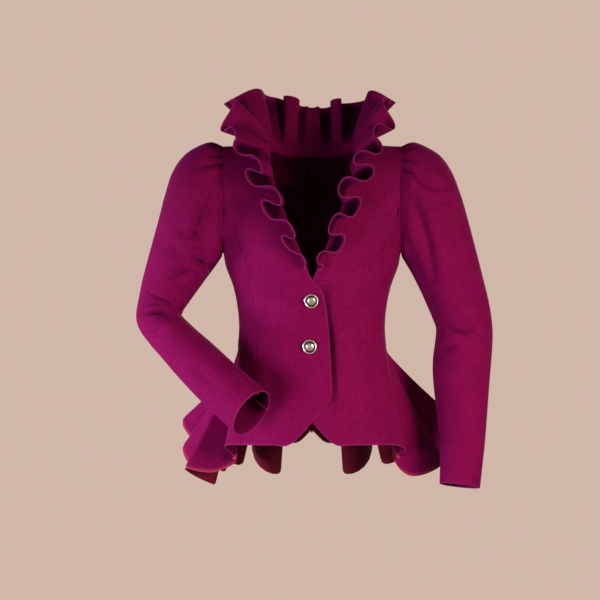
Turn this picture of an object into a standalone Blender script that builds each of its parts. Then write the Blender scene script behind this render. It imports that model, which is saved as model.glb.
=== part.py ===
"""A fitted wool swallowtail jacket, in the form it has when worn, hollow and open at every end.

Metres, +Z up. The front faces -Y and the wearer's left side is at +X. The origin lies midway between
the shoulder points, where the wearer carries the jacket. Every piece of cloth is an open surface,
worked out from a short table, with Solidify for its wall.
"""
import math

import bpy
import numpy as np

# Cloth
WALL = 0.002             # fulled wool with its interlining
LINING_WALL = 0.001      # satin inside the tails
SEAM = 0.0003            # gap between two pieces at a seam
LINING_GAP = 3 * SEAM    # from the lining to the wool it lies in
LINING_SHARPEST = 0.5    # in a sharp fold the lining stands back as if its faces leaned no more than this
SEAM_FLAT_ANGLE = 80.0   # from here to the armhole a front or back lies flat beside the seam
SEAM_FLAT = 0.003        # width of the flat cloth beside a sleeve's or a tail's seam
LAP_LIFT = WALL + 0.0009   # the upper front lies this much over the lower one

# Armhole: an upright oval in a plane at the shoulder point
ARMHOLE_X = 0.155
ARMHOLE_TOP = 0.004
ARMHOLE_BOTTOM = -0.184
ARMHOLE_HALF_DEPTH = 0.058
UNDERARM_LIFT = 0.0025   # the sleeve starts this much higher and further out under the arm
CHEST_NARROWING = (2.2, 3.7)   # power of the curve from the centre to the armhole, at the first and
CHEST_ROWS = (4, 8)            # the last of these sections
CHEST_FILLING = 1.4            # its second power, which ends it flat
SHOULDER_RISE = 0.010    # the shoulder seam climbs this much from the armhole to the neck

# Bodice, a row for each section from the shoulder down to the waist. neck is the inner edge of a
# centre front, negative where it laps past the middle; princess is the seam to the side front.
BODY_COLUMNS = ("height", "half_width", "front", "back", "neck", "princess")
BODY = np.array([
    (0.004, 0.1550, 0.000, 0.0000, 0.0780, 0.1550),
    (-0.006, 0.1550, 0.028, 0.0400, 0.0765, 0.1550),
    (-0.013, 0.1550, 0.037, 0.0490, 0.0755, 0.1550),
    (-0.022, 0.1550, 0.046, 0.0570, 0.0745, 0.1550),
    (-0.050, 0.1550, 0.066, 0.0700, 0.0700, 0.1550),
    (-0.085, 0.1550, 0.085, 0.0800, 0.0575, 0.1550),
    (-0.118, 0.1550, 0.098, 0.0850, 0.0450, 0.1475),
    (-0.145, 0.1550, 0.107, 0.0870, 0.0340, 0.1360),
    (-0.168, 0.1550, 0.112, 0.0875, 0.0240, 0.1270),
    (-0.184, 0.1550, 0.114, 0.0870, 0.0175, 0.1200),
    (-0.205, 0.1515, 0.114, 0.0850, 0.0085, 0.1140),
    (-0.223, 0.1450, 0.113, 0.0830, 0.0000, 0.1100),
    (-0.240, 0.1385, 0.110, 0.0810, -0.0150, 0.1070),
    (-0.268, 0.1320, 0.105, 0.0780, -0.0235, 0.1020),
    (-0.300, 0.1280, 0.099, 0.0755, -0.0275, 0.0980),
    (-0.325, 0.1275, 0.095, 0.0755, -0.0300, 0.0965),
    (-0.343, 0.1290, 0.094, 0.0770, -0.0312, 0.0959),
])
ROW_SIDE_FRONT = 6       # the side front reaches the armhole at this section
ROW_NAPE = 3             # the back's centre seam starts at this section
ROW_ARMPIT = 9
ROW_RUFFLE_END = 10      # the ruffle runs out at this section, just above the first button
ROW_WAIST = len(BODY) - 1
WAIST_Z = BODY[ROW_WAIST, 0]

# Skirt below the waist, a row for each ray of cloth from the waist to the hem: where it leaves the
# waist, the way it heads, how far it flares from upright, and its cut length. 0 degrees is the
# centre front, 90 the side seam and 180 the centre back.
FRONT_RAYS = [           # waist_angle, heading, flare, length
    (-14.0, -14.0, 12.0, 0.085),
    (-11.0, -11.0, 12.0, 0.100),
    (-3.0, -3.0, 12.0, 0.124),
    (13.0, 12.0, 12.0, 0.172),
    (26.0, 25.0, 12.0, 0.176),
    (48.0, 46.0, 13.0, 0.179),
    (66.0, 58.0, 13.0, 0.184),
]
RAY_SIDE_SEAM = 8        # the side seam runs down this ray, inside the first fold
ROUND_FLUTES = (13, 19)  # between these two crests the flutes are even and round
SIDE_RAYS = {
    "left": [
        (82.0, 60.0, 13.0, 0.196),
        (90.0, 66.0, 8.0, 0.201),
        (96.0, 80.0, 5.0, 0.208),
        (100.0, 82.0, 12.0, 0.240),
        (105.0, 110.0, 28.0, 0.243),
        (110.5, 121.0, 19.0, 0.245),
        (115.5, 117.0, 47.0, 0.245),
        (122.5, 138.0, 20.0, 0.245),
        (130.0, 138.0, 53.0, 0.248),
        (139.0, 152.0, 24.0, 0.252),
        (148.0, 158.0, 53.0, 0.262),
        (157.5, 168.0, 24.0, 0.275),
        (166.0, 173.0, 43.0, 0.285),
        (174.0, 177.5, 29.0, 0.215),
        (179.8, 180.0, 27.0, 0.190),
    ],
    "right": [
        (82.0, 40.0, 8.5, 0.195),
        (90.0, 42.0, 4.5, 0.202),
        (97.0, 90.0, 2.0, 0.210),
        (101.0, 82.0, 12.0, 0.233),
        (106.5, 80.0, 24.0, 0.243),
        (113.0, 104.0, 12.0, 0.260),
        (119.0, 130.0, 37.0, 0.244),
        (126.0, 140.0, 18.0, 0.250),
        (133.0, 141.0, 53.0, 0.250),
        (141.0, 152.0, 24.0, 0.254),
        (149.0, 158.0, 53.0, 0.262),
        (158.0, 168.0, 24.0, 0.275),
        (166.0, 173.0, 43.0, 0.285),
        (174.0, 177.5, 29.0, 0.215),
        (179.8, 180.0, 27.0, 0.190),
    ],
}
SKIRT_LEVELS = np.array([0.015, 0.3, 0.65, 1.0])   # shares of a ray, the first beside the waist
SKIRT_ROUNDING = 0.15    # power of the growing flare, which is upright at the waist and whole at
SKIRT_FULL_FLARE = 0.2   # this far down the cloth
FLUTE_SWELL = 4.5        # a flute's sides swing this far out, in degrees, so that it ends in a round

# Sleeves, a row for each ring below the armhole. A ring spans from its outer point to its inner one
# in front view, and half_depth is its reach to front and back. tuck is the height of the head's folds.
SLEEVES = {              # outer_x, outer_z, inner_x, inner_z, centre_y, half_depth, tuck
    "left": np.array([
        (0.178, 0.006, 0.162, -0.190, 0.000, 0.068, 0.0060),
        (0.203, -0.002, 0.168, -0.200, 0.000, 0.075, 0.0050),
        (0.227, -0.016, 0.176, -0.213, 0.002, 0.078, 0.0030),
        (0.246, -0.041, 0.184, -0.228, 0.004, 0.077, 0.0010),
        (0.260, -0.074, 0.193, -0.246, 0.006, 0.073, 0.0),
        (0.274, -0.119, 0.203, -0.268, 0.008, 0.067, 0.0),
        (0.302, -0.225, 0.220, -0.308, 0.010, 0.058, 0.0),
        (0.315, -0.280, 0.223, -0.322, 0.008, 0.054, 0.0),
        (0.320, -0.325, 0.221, -0.344, 0.004, 0.052, 0.0),
        (0.318, -0.368, 0.217, -0.376, -0.002, 0.051, 0.0),
        (0.314, -0.412, 0.218, -0.415, -0.012, 0.048, 0.0),
        (0.306, -0.510, 0.228, -0.505, -0.032, 0.041, 0.0),
        (0.301, -0.555, 0.229, -0.549, -0.042, 0.038, 0.0),
        (0.296, -0.598, 0.228, -0.590, -0.050, 0.035, 0.0),
    ]),
    "right": np.array([
        (0.178, 0.006, 0.163, -0.190, 0.000, 0.068, 0.0060),
        (0.203, -0.001, 0.169, -0.199, 0.000, 0.075, 0.0050),
        (0.227, -0.016, 0.176, -0.209, 0.002, 0.078, 0.0030),
        (0.246, -0.042, 0.184, -0.220, 0.004, 0.077, 0.0010),
        (0.258, -0.077, 0.193, -0.232, 0.006, 0.073, 0.0),
        (0.271, -0.125, 0.203, -0.246, 0.009, 0.067, 0.0),
        (0.297, -0.219, 0.225, -0.277, 0.014, 0.054, 0.0),
        (0.305, -0.255, 0.231, -0.286, 0.014, 0.050, 0.0),
        (0.311, -0.302, 0.234, -0.301, 0.003, 0.047, 0.0),
        (0.292, -0.334, 0.220, -0.312, -0.018, 0.046, 0.0),
        (0.270, -0.359, 0.203, -0.322, -0.044, 0.045, 0.0),
        (0.240, -0.391, 0.175, -0.342, -0.075, 0.044, 0.0),
        (0.203, -0.427, 0.141, -0.370, -0.112, 0.043, 0.0),
        (0.166, -0.459, 0.110, -0.393, -0.146, 0.042, 0.0),
        (0.130, -0.489, 0.081, -0.417, -0.174, 0.041, 0.0),
    ]),
}
SLEEVE_SEAMS = (115.0, 150.0)   # the back seam and the front one, measured round from the ring's top
TUCKS = 6
TUCK_STEPS = 3               # columns to a tuck
TUCK_SPREAD = 75.0           # tucks lie within this angle of the top

# Collar ruffle, a row for each station along the neckline from the lapel's end to the nape: the way
# the cloth stands (out, front, up), its width, the height of its waves, how far they slant along the
# seam as they cross it, and the flutes passed so far.
RUFFLE = {               # along, out, front, up, width, wave, slant, flutes
    "left": np.array([
        (0.00, 0.30, 0.95, 0.00, 0.012, 0.0030, 0.3, 0.25),
        (0.12, 0.28, 0.95, 0.08, 0.036, 0.0210, 0.3, 1.22),
        (0.28, 0.26, 0.94, 0.14, 0.046, 0.0240, 0.3, 2.22),
        (0.44, 0.24, 0.94, 0.20, 0.054, 0.0240, 0.3, 3.22),
        (0.57, 0.66, 0.56, 0.44, 0.064, 0.0225, 0.2, 4.40),
        (0.66, 0.76, 0.12, 0.62, 0.092, 0.0180, 0.0, 5.50),
        (0.74, 0.52, -0.12, 0.84, 0.112, 0.0170, -0.4, 6.50),
        (0.84, 0.22, -0.36, 0.91, 0.104, 0.0160, 0.0, 7.50),
        (0.94, 0.08, -0.42, 0.90, 0.099, 0.0110, 0.0, 8.35),
        (1.00, 0.00, -0.45, 0.89, 0.096, 0.0000, 0.0, 8.80),
    ]),
    "right": np.array([
        (0.00, 0.30, 0.95, 0.00, 0.012, 0.0030, 0.75, 0.40),
        (0.19, 0.34, 0.92, 0.05, 0.042, 0.0240, 0.75, 1.75),
        (0.35, 0.44, 0.87, 0.10, 0.052, 0.0255, 0.75, 2.75),
        (0.49, 0.60, 0.74, 0.16, 0.062, 0.0245, 0.75, 3.72),
        (0.60, 0.88, 0.36, 0.30, 0.084, 0.0210, 0.5, 4.75),
        (0.68, 0.76, 0.08, 0.60, 0.108, 0.0210, 0.0, 5.85),
        (0.75, 0.48, -0.15, 0.86, 0.114, 0.0200, -0.4, 6.50),
        (0.83, 0.22, -0.36, 0.91, 0.114, 0.0170, 0.0, 7.25),
        (0.94, 0.06, -0.42, 0.90, 0.102, 0.0110, 0.0, 8.15),
        (1.00, 0.00, -0.45, 0.89, 0.096, 0.0000, 0.0, 8.60),
    ]),
}
RUFFLE_LEVELS = np.array([0.0, 0.14, 0.56, 1.0])   # shares of the width, the first two upright
RUFFLE_STEPS = 10        # columns to a flute
RUFFLE_BULB = 0.09       # how far a flute swells past its neck, as a share of its length
RUFFLE_SEAT = 0.0015     # from the neckline's edge to the middle of the ruffle's wall
RUFFLE_LEAST_RISE = 0.05   # the foot of a flute always rises at least this share
NECK_PROBE = (0.2, 2.0)  # rows and degrees from the neckline at which its cloth's slope is read

# Buttons: a turned dome in a rim, on a shank
BUTTON_RADIUS = 0.01275
BUTTON_PLACES = {"upper": (-0.0016, -0.260), "lower": (-0.0045, -0.342)}
BUTTON_PROFILE = [       # (share of the radius, height above the cloth)
    (0.00, 0.0078), (0.30, 0.0075), (0.55, 0.0064), (0.68, 0.0050), (0.76, 0.0049),
    (0.86, 0.0060), (0.96, 0.0058), (1.00, 0.0046), (0.92, 0.0032), (0.24, 0.0026),
    (0.22, 0.0004), (0.00, 0.0004),
]
BUTTON_STEPS = 24
MERGE = 0.00001          # the turned profile's ends close within this

# Columns of each piece's grid, as shares of the way across it or as counts
CENTRE_FRONT_ACROSS = np.array([0, 0.05, 0.12, 0.20, 0.30, 0.42, 0.56, 0.74, 0.90, 1.0])
SIDE_FRONT_ACROSS = np.array([0, 0.12, 0.32, 0.52, 0.68, 0.82, 0.91, 1.0])
BACK_ACROSS = np.array([0, 0.14, 0.28, 0.42, 0.56, 0.70, 0.85, 1.0])
SIDE_FRONT_TIP = ROW_SIDE_FRONT - 0.75   # the side front runs to a point at the armhole here
TAIL_STEPS = 4           # columns from one ray to the next
UPPER_SLEEVE_STEPS = (2, 3)   # columns from the tucks to the back seam and to the front one
UNDER_SLEEVE_STEPS = 8
BACK_NECK_ROWS = np.array([0, 1, 2, 2.6, 2.9, ROW_NAPE])   # sections of the back's neckline

# Where the laps and turns begin and end
LAP_EDGE = (0.036, 0.080)
LAP_TOP = (-0.205, -0.145)
UNDERARM_REACH = (0.045, 0.075)
RUFFLE_FLAT = (0.01, 0.07)   # the ruffle lies flat this close to its seam at the nape

# Finishes: colour, roughness and metallic share
WOOL = ((0.215, 0.004, 0.090, 1.0), 0.85, 0.0)
SATIN = ((0.400, 0.020, 0.060, 1.0), 0.40, 0.0)
SILVER = ((0.420, 0.400, 0.370, 1.0), 0.35, 1.0)
SIDES = {"left": 1, "right": -1}   # the wearer's sides, and the sign of x there
ROW_STEPS = 50           # steps to a row when a table is searched


def smooth_rows(table, place):
    """Values at fractional row numbers of a table, on a Catmull-Rom curve through its rows."""
    table = np.asarray(table, float)
    place = np.asarray(place, float)
    low = np.clip(np.floor(place).astype(int), 0, len(table) - 2)
    t = (place - low)[..., None]
    before, start, end, after = (table[np.clip(low + k, 0, len(table) - 1)] for k in (-1, 0, 1, 2))
    bend = 2 * before - 5 * start + 4 * end - after
    twist = 3 * (start - end) + after - before
    return start + 0.5 * t * (end - before + t * (bend + t * twist))


def row_where(table, column, values):
    """The fractional rows at which a rising column of a table reaches the values."""
    rows = np.linspace(0, len(table) - 1, ROW_STEPS * len(table))
    return np.interp(values, smooth_rows(table, rows)[:, column], rows)


def smooth_step(value, low, high):
    """0 below low, 1 above high, and an even S between."""
    t = np.clip((value - low) / (high - low), 0, 1)
    return t * t * (3 - 2 * t)


def unit(vectors):
    """The vectors, each made one long."""
    return vectors / np.linalg.norm(vectors, axis=-1, keepdims=True)


def armhole_depth(height):
    """Half the armhole's depth at a height, on its oval, and 0 below it."""
    middle = (ARMHOLE_TOP + ARMHOLE_BOTTOM) / 2
    half_height = (ARMHOLE_TOP - ARMHOLE_BOTTOM) / 2
    return ARMHOLE_HALF_DEPTH * np.sqrt(np.clip(1 - ((height - middle) / half_height) ** 2, 0, None))


def bodice(row, angle, is_back):
    """Points of one half of the bodice, x positive outwards, at a section row and an angle from centre.

    Below the armpit a section is a quarter ellipse. Above it the curve runs from the centre to the
    armhole's edge, fuller towards the armpit, and lies flat beside it. The front's half and the
    back's stand a seam apart.
    """
    section = smooth_rows(BODY, row)
    height, half_width = section[..., 0], section[..., 1]
    depth = section[..., 3] if is_back else section[..., 2]
    sine = np.sin(np.radians(angle))
    flat = np.sin(np.radians(SEAM_FLAT_ANGLE))
    round_share = np.cos(np.radians(angle))
    grow = smooth_step(row, *CHEST_ROWS)
    narrowing = CHEST_NARROWING[0] + (CHEST_NARROWING[1] - CHEST_NARROWING[0]) * grow
    chest_share = (1 - np.clip(np.abs(sine) / flat, 0, 1) ** narrowing) ** CHEST_FILLING
    above = np.clip(ROW_ARMPIT - row, 0, 1)
    share = above * chest_share + (1 - above) * round_share
    edge = armhole_depth(height) * above
    y = SEAM / 2 + edge + (depth - edge) * share
    x = half_width * sine
    rise = np.clip((height - ARMHOLE_BOTTOM) / (ARMHOLE_TOP - ARMHOLE_BOTTOM), 0, 1) ** 2
    z = height + SHOULDER_RISE * rise * (1 - np.abs(sine))
    return np.stack(np.broadcast_arrays(x, y if is_back else -y, z), axis=-1)


def section_angle(row, column):
    """The angle at which a column of the bodice table crosses its section, in degrees."""
    section = smooth_rows(BODY, row)
    place = section[..., BODY_COLUMNS.index(column)] / section[..., 1]
    return np.degrees(np.arcsin(np.clip(place, -1, 1)))


def skirt(rays, place, level, seam_side):
    """Points of one half of the skirt: a ray of cloth at a fractional row, and a share of its length.

    seam_side is -1 for a front and 1 for a tail, which stand a seam apart along the side seam. A sine
    over each step from crest to valley swings the rays of the even flutes, so that both are round.
    """
    waist_angle, heading, flare, length = np.moveaxis(smooth_rows(rays, place), -1, 0)
    is_even = (place > ROUND_FLUTES[0]) & (place < ROUND_FLUTES[1])
    heading = heading + is_even * FLUTE_SWELL * np.sin(2 * np.pi * place)
    half_width, front, back = BODY[ROW_WAIST, 1:4]
    turn, way, lean = (np.radians(v) for v in (waist_angle, heading, flare))
    depth = np.where(waist_angle < 90, front, back)
    below = np.maximum(length * level - SEAM_FLAT, 0)
    reach = np.sin(lean) * below * (below / SKIRT_FULL_FLARE) ** SKIRT_ROUNDING
    x = half_width * np.sin(turn) + reach * np.sin(way)
    y = seam_side * SEAM / 2 - depth * np.cos(turn) - reach * np.cos(way)
    z = WAIST_Z - length * np.cos(lean) * level
    return np.stack(np.broadcast_arrays(x, y, z), axis=-1)


def half_rays(side):
    """The rays of one half of the skirt, from the front edge to the centre back."""
    return np.array(FRONT_RAYS + SIDE_RAYS[side])


def front_panel(side, rows, angles):
    """A front: the bodice at its rows and angles, and the skirt below it on the waist's angles."""
    upper = bodice(rows, angles, is_back=False)
    rays = half_rays(side)
    place = row_where(rays, 0, angles[-1])
    return np.concatenate([upper, skirt(rays, place[None, :], SKIRT_LEVELS[:, None], -1)])


def lapped(points, side):
    """The points, moved out on the upper front where it lies over the lower one."""
    if side == "left":
        return points
    over = 1 - smooth_step(points[..., 0], *LAP_EDGE)
    below = 1 - smooth_step(points[..., 2], *LAP_TOP)
    return points - (LAP_LIFT * over * below)[..., None] * (0, 1, 0)


def princess_gap(rows):
    """Half the princess seam's gap, in degrees: wider in the hollow beside the armhole."""
    return np.degrees(np.where(rows <= ROW_ARMPIT, 2 * SEAM, SEAM / 2) / ARMHOLE_X)


def centre_front(side):
    """A centre front, from the shoulder to the cut-away hem, between the neckline and its outer seam."""
    across = CENTRE_FRONT_ACROSS[None, :]
    rows = np.arange(ROW_WAIST + 1.0)[:, None]
    start = section_angle(rows, "neck")
    seam = section_angle(rows, "princess") - princess_gap(rows)
    beside_armhole = np.minimum(start + (SEAM_FLAT_ANGLE - start) * across / across[0, -2], SEAM_FLAT_ANGLE)
    beside_armhole[:, -1] = 90
    angles = np.where(rows < ROW_SIDE_FRONT, beside_armhole, start + (seam - start) * across)
    return lapped(front_panel(side, rows, angles), side)


def side_front(side):
    """A side front, from its tip at the armhole to the hem, between the princess seam and the side."""
    across = SIDE_FRONT_ACROSS[None, :]
    rows = np.append(SIDE_FRONT_TIP, np.arange(ROW_SIDE_FRONT, ROW_WAIST + 1.0))[:, None]
    seam = section_angle(rows, "princess") + princess_gap(rows)
    flat = np.maximum(SEAM_FLAT_ANGLE, seam + (90 - seam) * across[0, -2])
    beside_armhole = seam + (flat - seam) * across / across[0, -2]
    beside_armhole[:, -1] = 90
    angles = np.where(rows < ROW_ARMPIT, beside_armhole, seam + (90 - seam) * across)
    return front_panel(side, rows, angles)


def back_neck_angle(row):
    """The angle of the back's inner edge: a quarter oval round the neck, and then the centre seam."""
    neck = BODY[0, BODY_COLUMNS.index("neck")] / ARMHOLE_X
    share = np.sqrt(np.clip(1 - (row / ROW_NAPE) ** 2, 0, 1))
    return np.degrees(np.arcsin(np.maximum(neck * share, SEAM / 2 / ARMHOLE_X)))


def back(side):
    """A back, from the shoulder to the waist, between the neckline or centre seam and the side."""
    across = BACK_ACROSS[None, :]
    rows = np.append(BACK_NECK_ROWS, np.arange(ROW_NAPE + 1.0, ROW_WAIST + 1))[:, None]
    start = back_neck_angle(rows)
    beside_armhole = start + (SEAM_FLAT_ANGLE - start) * across / across[0, -2]
    beside_armhole[:, -1] = 90
    angles = np.where(rows < ROW_ARMPIT, beside_armhole, start + (90 - start) * across)
    return bodice(rows, angles, is_back=True)


def tail(side):
    """A tail: the skirt's rays from the side seam to the centre back, hung a seam below the waist."""
    rays = half_rays(side)
    last = len(rays) - 1
    place = np.linspace(RAY_SIDE_SEAM, last, TAIL_STEPS * (last - RAY_SIDE_SEAM) + 1)
    points = skirt(rays, place[None, :], np.append(0, SKIRT_LEVELS)[:, None], 1)
    points[..., 2] -= SEAM
    return points


def moved_in(points, distance):
    """A grid of points moved inwards until it clears each face round a point by the distance."""
    normals = unit(np.cross(points[1:, 1:] - points[:-1, :-1], points[:-1, 1:] - points[1:, :-1]))
    padded = np.pad(normals, ((1, 1), (1, 1), (0, 0)), mode="edge")
    corners = np.stack([padded[:-1, :-1], padded[1:, :-1], padded[:-1, 1:], padded[1:, 1:]])
    way = unit(corners.sum(axis=0))
    clear = np.min(np.sum(corners * way, axis=-1), axis=0)
    return points - way * (distance / np.maximum(clear, LINING_SHARPEST))[..., None]


def sleeve(side, angles):
    """A sleeve's rings at the angles round from their top, front first, from the armhole to the cuff.

    The first two rings follow the armhole and lie flat beside its seam. Each other ring is an oval
    across the arm's own direction, and the rings of the head are lifted in tucks round the top.
    """
    middle = (ARMHOLE_TOP + ARMHOLE_BOTTOM) / 2
    head = [(x, ARMHOLE_TOP, x, ARMHOLE_BOTTOM + UNDERARM_LIFT, 0, ARMHOLE_HALF_DEPTH, 0)
            for x in (ARMHOLE_X + SEAM, ARMHOLE_X + SEAM + SEAM_FLAT)]
    rings = np.vstack([head, SLEEVES[side]])
    outer_x, outer_z, inner_x, inner_z, centre_y, half_depth, tuck = rings.T
    outer = np.stack([outer_x, centre_y, outer_z], axis=-1)
    inner = np.stack([inner_x, centre_y, inner_z], axis=-1)
    centre = (outer + inner) / 2
    arm = unit(np.gradient(centre, axis=0))
    arm[:2] = (1, 0, 0)
    up = unit(outer - inner)
    front = unit(np.cross(arm, up))
    turn = np.radians(angles)[None, :, None]
    spread = 2 * TUCK_SPREAD
    fold = 0.5 - 0.5 * np.cos(2 * np.pi * TUCKS * (angles + TUCK_SPREAD) / spread)
    fold = np.where(np.abs(angles) < TUCK_SPREAD, fold, 0)
    lift = tuck[:, None] * fold
    half = np.linalg.norm(outer - inner, axis=-1)[:, None, None] / 2
    to_top = up[:, None] * np.cos(turn)
    to_front = front[:, None] * np.sin(turn)
    points = centre[:, None] + to_top * half + to_front * half_depth[:, None, None]
    points = points + (to_top + to_front) * lift[..., None]
    points[:2, :, 0] += UNDERARM_LIFT * smooth_step(middle - points[:2, :, 2], *UNDERARM_REACH)
    return points


def upper_sleeve(side):
    """The upper sleeve, over the top of the rings, with columns for its tucks."""
    back_seam, front_seam = SLEEVE_SEAMS
    tucks = np.linspace(-TUCK_SPREAD, TUCK_SPREAD, TUCKS * TUCK_STEPS + 1)
    behind = np.linspace(-back_seam, -TUCK_SPREAD, UPPER_SLEEVE_STEPS[0] + 1)[:-1]
    before = np.linspace(TUCK_SPREAD, front_seam, UPPER_SLEEVE_STEPS[1] + 1)[1:]
    return sleeve(side, np.concatenate([behind, tucks, before]))


def under_sleeve(side):
    """The under sleeve, between the two sleeve seams."""
    cuff_half_depth = SLEEVES[side][-1, 5]
    gap = np.degrees(2 * SEAM / cuff_half_depth)
    back_seam, front_seam = SLEEVE_SEAMS
    return sleeve(side, np.linspace(front_seam + gap, 360 - back_seam - gap, UNDER_SLEEVE_STEPS))


def neckline(side):
    """The neckline's corners, from the ruffle's end up the front edge and round to the nape.

    Returns their points and the way off the cloth's edge at each, along the cloth's own surface.
    """
    front_rows = np.arange(ROW_RUFFLE_END, -1.0, -1)
    front_angles = section_angle(front_rows, "neck")
    back_angles = back_neck_angle(BACK_NECK_ROWS)
    edges, normals = [], []
    for rows, angles, is_back in ((front_rows, front_angles, False), (BACK_NECK_ROWS, back_angles, True)):
        edge = bodice(rows, angles, is_back)
        down = bodice(rows + NECK_PROBE[0], angles, is_back) - edge
        across = bodice(rows, angles + NECK_PROBE[1], is_back) - edge
        normals.append(unit(np.cross(across, down) if is_back else np.cross(down, across)))
        edges.append(edge)
    path = lapped(np.concatenate([edges[0], edges[1][1:]]), side)
    normal = np.concatenate([normals[0], normals[1][1:]])
    return path, unit(np.cross(normal, np.gradient(path, axis=0)))


def ruffle(side):
    """A collar ruffle: cloth that stands on the neckline and waves more towards its free edge.

    Each column starts upright at the seam and then leans the way its station says. A flute is a sine
    across the cloth, with a second one along it that swells the flute past its neck.
    """
    path, off_edge = neckline(side)
    length = np.append(0, np.cumsum(np.linalg.norm(np.diff(path, axis=0), axis=1)))
    table = RUFFLE[side]
    flute_count = table[-1, -1] - table[0, -1]
    flutes = np.linspace(table[0, -1], table[-1, -1], int(flute_count * RUFFLE_STEPS) + 1)
    along, out, front, up, width, wave, slant, _ = smooth_rows(table, row_where(table, -1, flutes)).T
    path = path + RUFFLE_SEAT * off_edge
    base = np.stack([np.interp(along * length[-1], length, path[:, k]) for k in range(3)], axis=-1)
    base[:, 0] += (2 * SEAM - base[-1, 0]) * (1 - smooth_step(1 - along, *RUFFLE_FLAT))
    wave = wave * smooth_step(1 - along, *RUFFLE_FLAT)
    run = unit(np.gradient(base, axis=0))
    lean = np.stack([out, -front, up], axis=-1)
    upright = np.stack([0 * out, -np.maximum(front, 0), np.maximum(up, RUFFLE_LEAST_RISE)], axis=-1)
    lean, upright = (unit(v - run * np.sum(run * v, axis=-1, keepdims=True)) for v in (lean, upright))
    across = unit(np.cross(run, lean) + slant[:, None] * run)
    flute_length = np.gradient(along * length[-1]) * RUFFLE_STEPS
    full_wave = table[1, 5]
    swell = RUFFLE_BULB * flute_length * smooth_step(wave, 0, full_wave)
    level = RUFFLE_LEVELS[:, None, None]
    foot = RUFFLE_LEVELS[1]
    grow = np.clip((level - foot) / (1 - foot), 0, 1)
    turn = 2 * np.pi * flutes
    shift = across * (wave * np.sin(turn))[:, None] - run * (swell * np.sin(2 * turn))[:, None]
    stand = upright * np.minimum(level, foot) + lean * np.maximum(level - foot, 0)
    points = base + width[:, None] * stand + grow * shift
    points[:, -1, 0] = base[-1, 0]
    return points


def finish(name, colour, roughness, metallic):
    """A Principled material for one piece."""
    material = bpy.data.materials.new(name)
    material.use_nodes = True
    shader = material.node_tree.nodes["Principled BSDF"]
    shader.inputs["Base Color"].default_value = colour
    shader.inputs["Roughness"].default_value = roughness
    shader.inputs["Metallic"].default_value = metallic
    return material


def cloth(name, points, side, wall, offset, looks):
    """A piece of cloth: a grid of points, x positive outwards, set on its side of the body.

    Solidify gives the wall, outwards from the points (offset 1) or half to each side (offset 0).
    """
    sign = SIDES[side]
    rows, columns = points.shape[:2]
    number = np.arange(rows * columns).reshape(rows, columns)
    corners = [number[:-1, :-1], number[1:, :-1], number[1:, 1:], number[:-1, 1:]]
    faces = np.stack(corners[::sign], axis=-1).reshape(-1, 4)
    mesh = bpy.data.meshes.new(name)
    mesh.from_pydata((points * (sign, 1, 1)).reshape(-1, 3).tolist(), [], faces.tolist())
    mesh.shade_smooth()
    mesh.materials.append(finish(name, *looks))
    piece = bpy.data.objects.new(name, mesh)
    jacket.objects.link(piece)
    solidify = piece.modifiers.new("wall", "SOLIDIFY")
    solidify.thickness = wall
    solidify.offset = offset
    return piece


def button(name, x, height):
    """A domed shank button on the upper front, turned from its profile and tilted with the cloth."""
    mesh = bpy.data.meshes.new(name)
    profile = [(share * BUTTON_RADIUS, 0, rise) for share, rise in BUTTON_PROFILE]
    mesh.from_pydata(profile, [(k, k + 1) for k in range(len(profile) - 1)], [])
    mesh.materials.append(finish(name, *SILVER))
    piece = bpy.data.objects.new(name, mesh)
    jacket.objects.link(piece)
    screw = piece.modifiers.new("turn", "SCREW")
    screw.axis = "Z"
    screw.angle = 2 * math.pi
    screw.steps = screw.render_steps = BUTTON_STEPS
    screw.use_merge_vertices = True
    screw.merge_threshold = MERGE
    screw.use_smooth_shade = True
    heights = BODY[::-1, 0]
    depth, above = np.interp([height, height + BUTTON_RADIUS], heights, BODY[::-1, 2])
    tilt = math.atan2(above - depth, BUTTON_RADIUS)
    piece.location = (x, -(depth + LAP_LIFT + WALL + SEAM / 2), height)
    piece.rotation_euler = (math.pi / 2 + tilt, 0, 0)
    return piece


for old in list(bpy.data.objects):
    bpy.data.objects.remove(old)
jacket = bpy.data.collections.new("swallowtail_jacket")
bpy.context.scene.collection.children.link(jacket)
for side in SIDES:
    for kind, shape in (("front", centre_front), ("side_front", side_front), ("tail", tail)):
        cloth(f"{kind}_{side}", shape(side), side, WALL, 1, WOOL)
    for kind, shape in (("back", back), ("upper_sleeve", upper_sleeve), ("under_sleeve", under_sleeve)):
        cloth(f"{kind}_{side}", shape(side)[:, ::-1], side, WALL, 1, WOOL)
    cloth(f"collar_ruffle_{side}", ruffle(side), side, WALL, 0, WOOL)
    lining = moved_in(tail(side), LINING_WALL + LINING_GAP)
    cloth(f"tail_lining_{side}", lining, side, LINING_WALL, 1, SATIN)
for place, (x, height) in BUTTON_PLACES.items():
    button(f"button_{place}", x, height)
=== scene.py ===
"""A fitted plum wool swallowtail jacket in its worn form, dressed piece by piece over its solids.

Metres, +Z up. The front faces -Y and the wearer's left side is at +X. Each piece of cloth is a thin
closed shell on a surface of two parameters, with x positive outwards until it is set on its side.
"""

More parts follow.
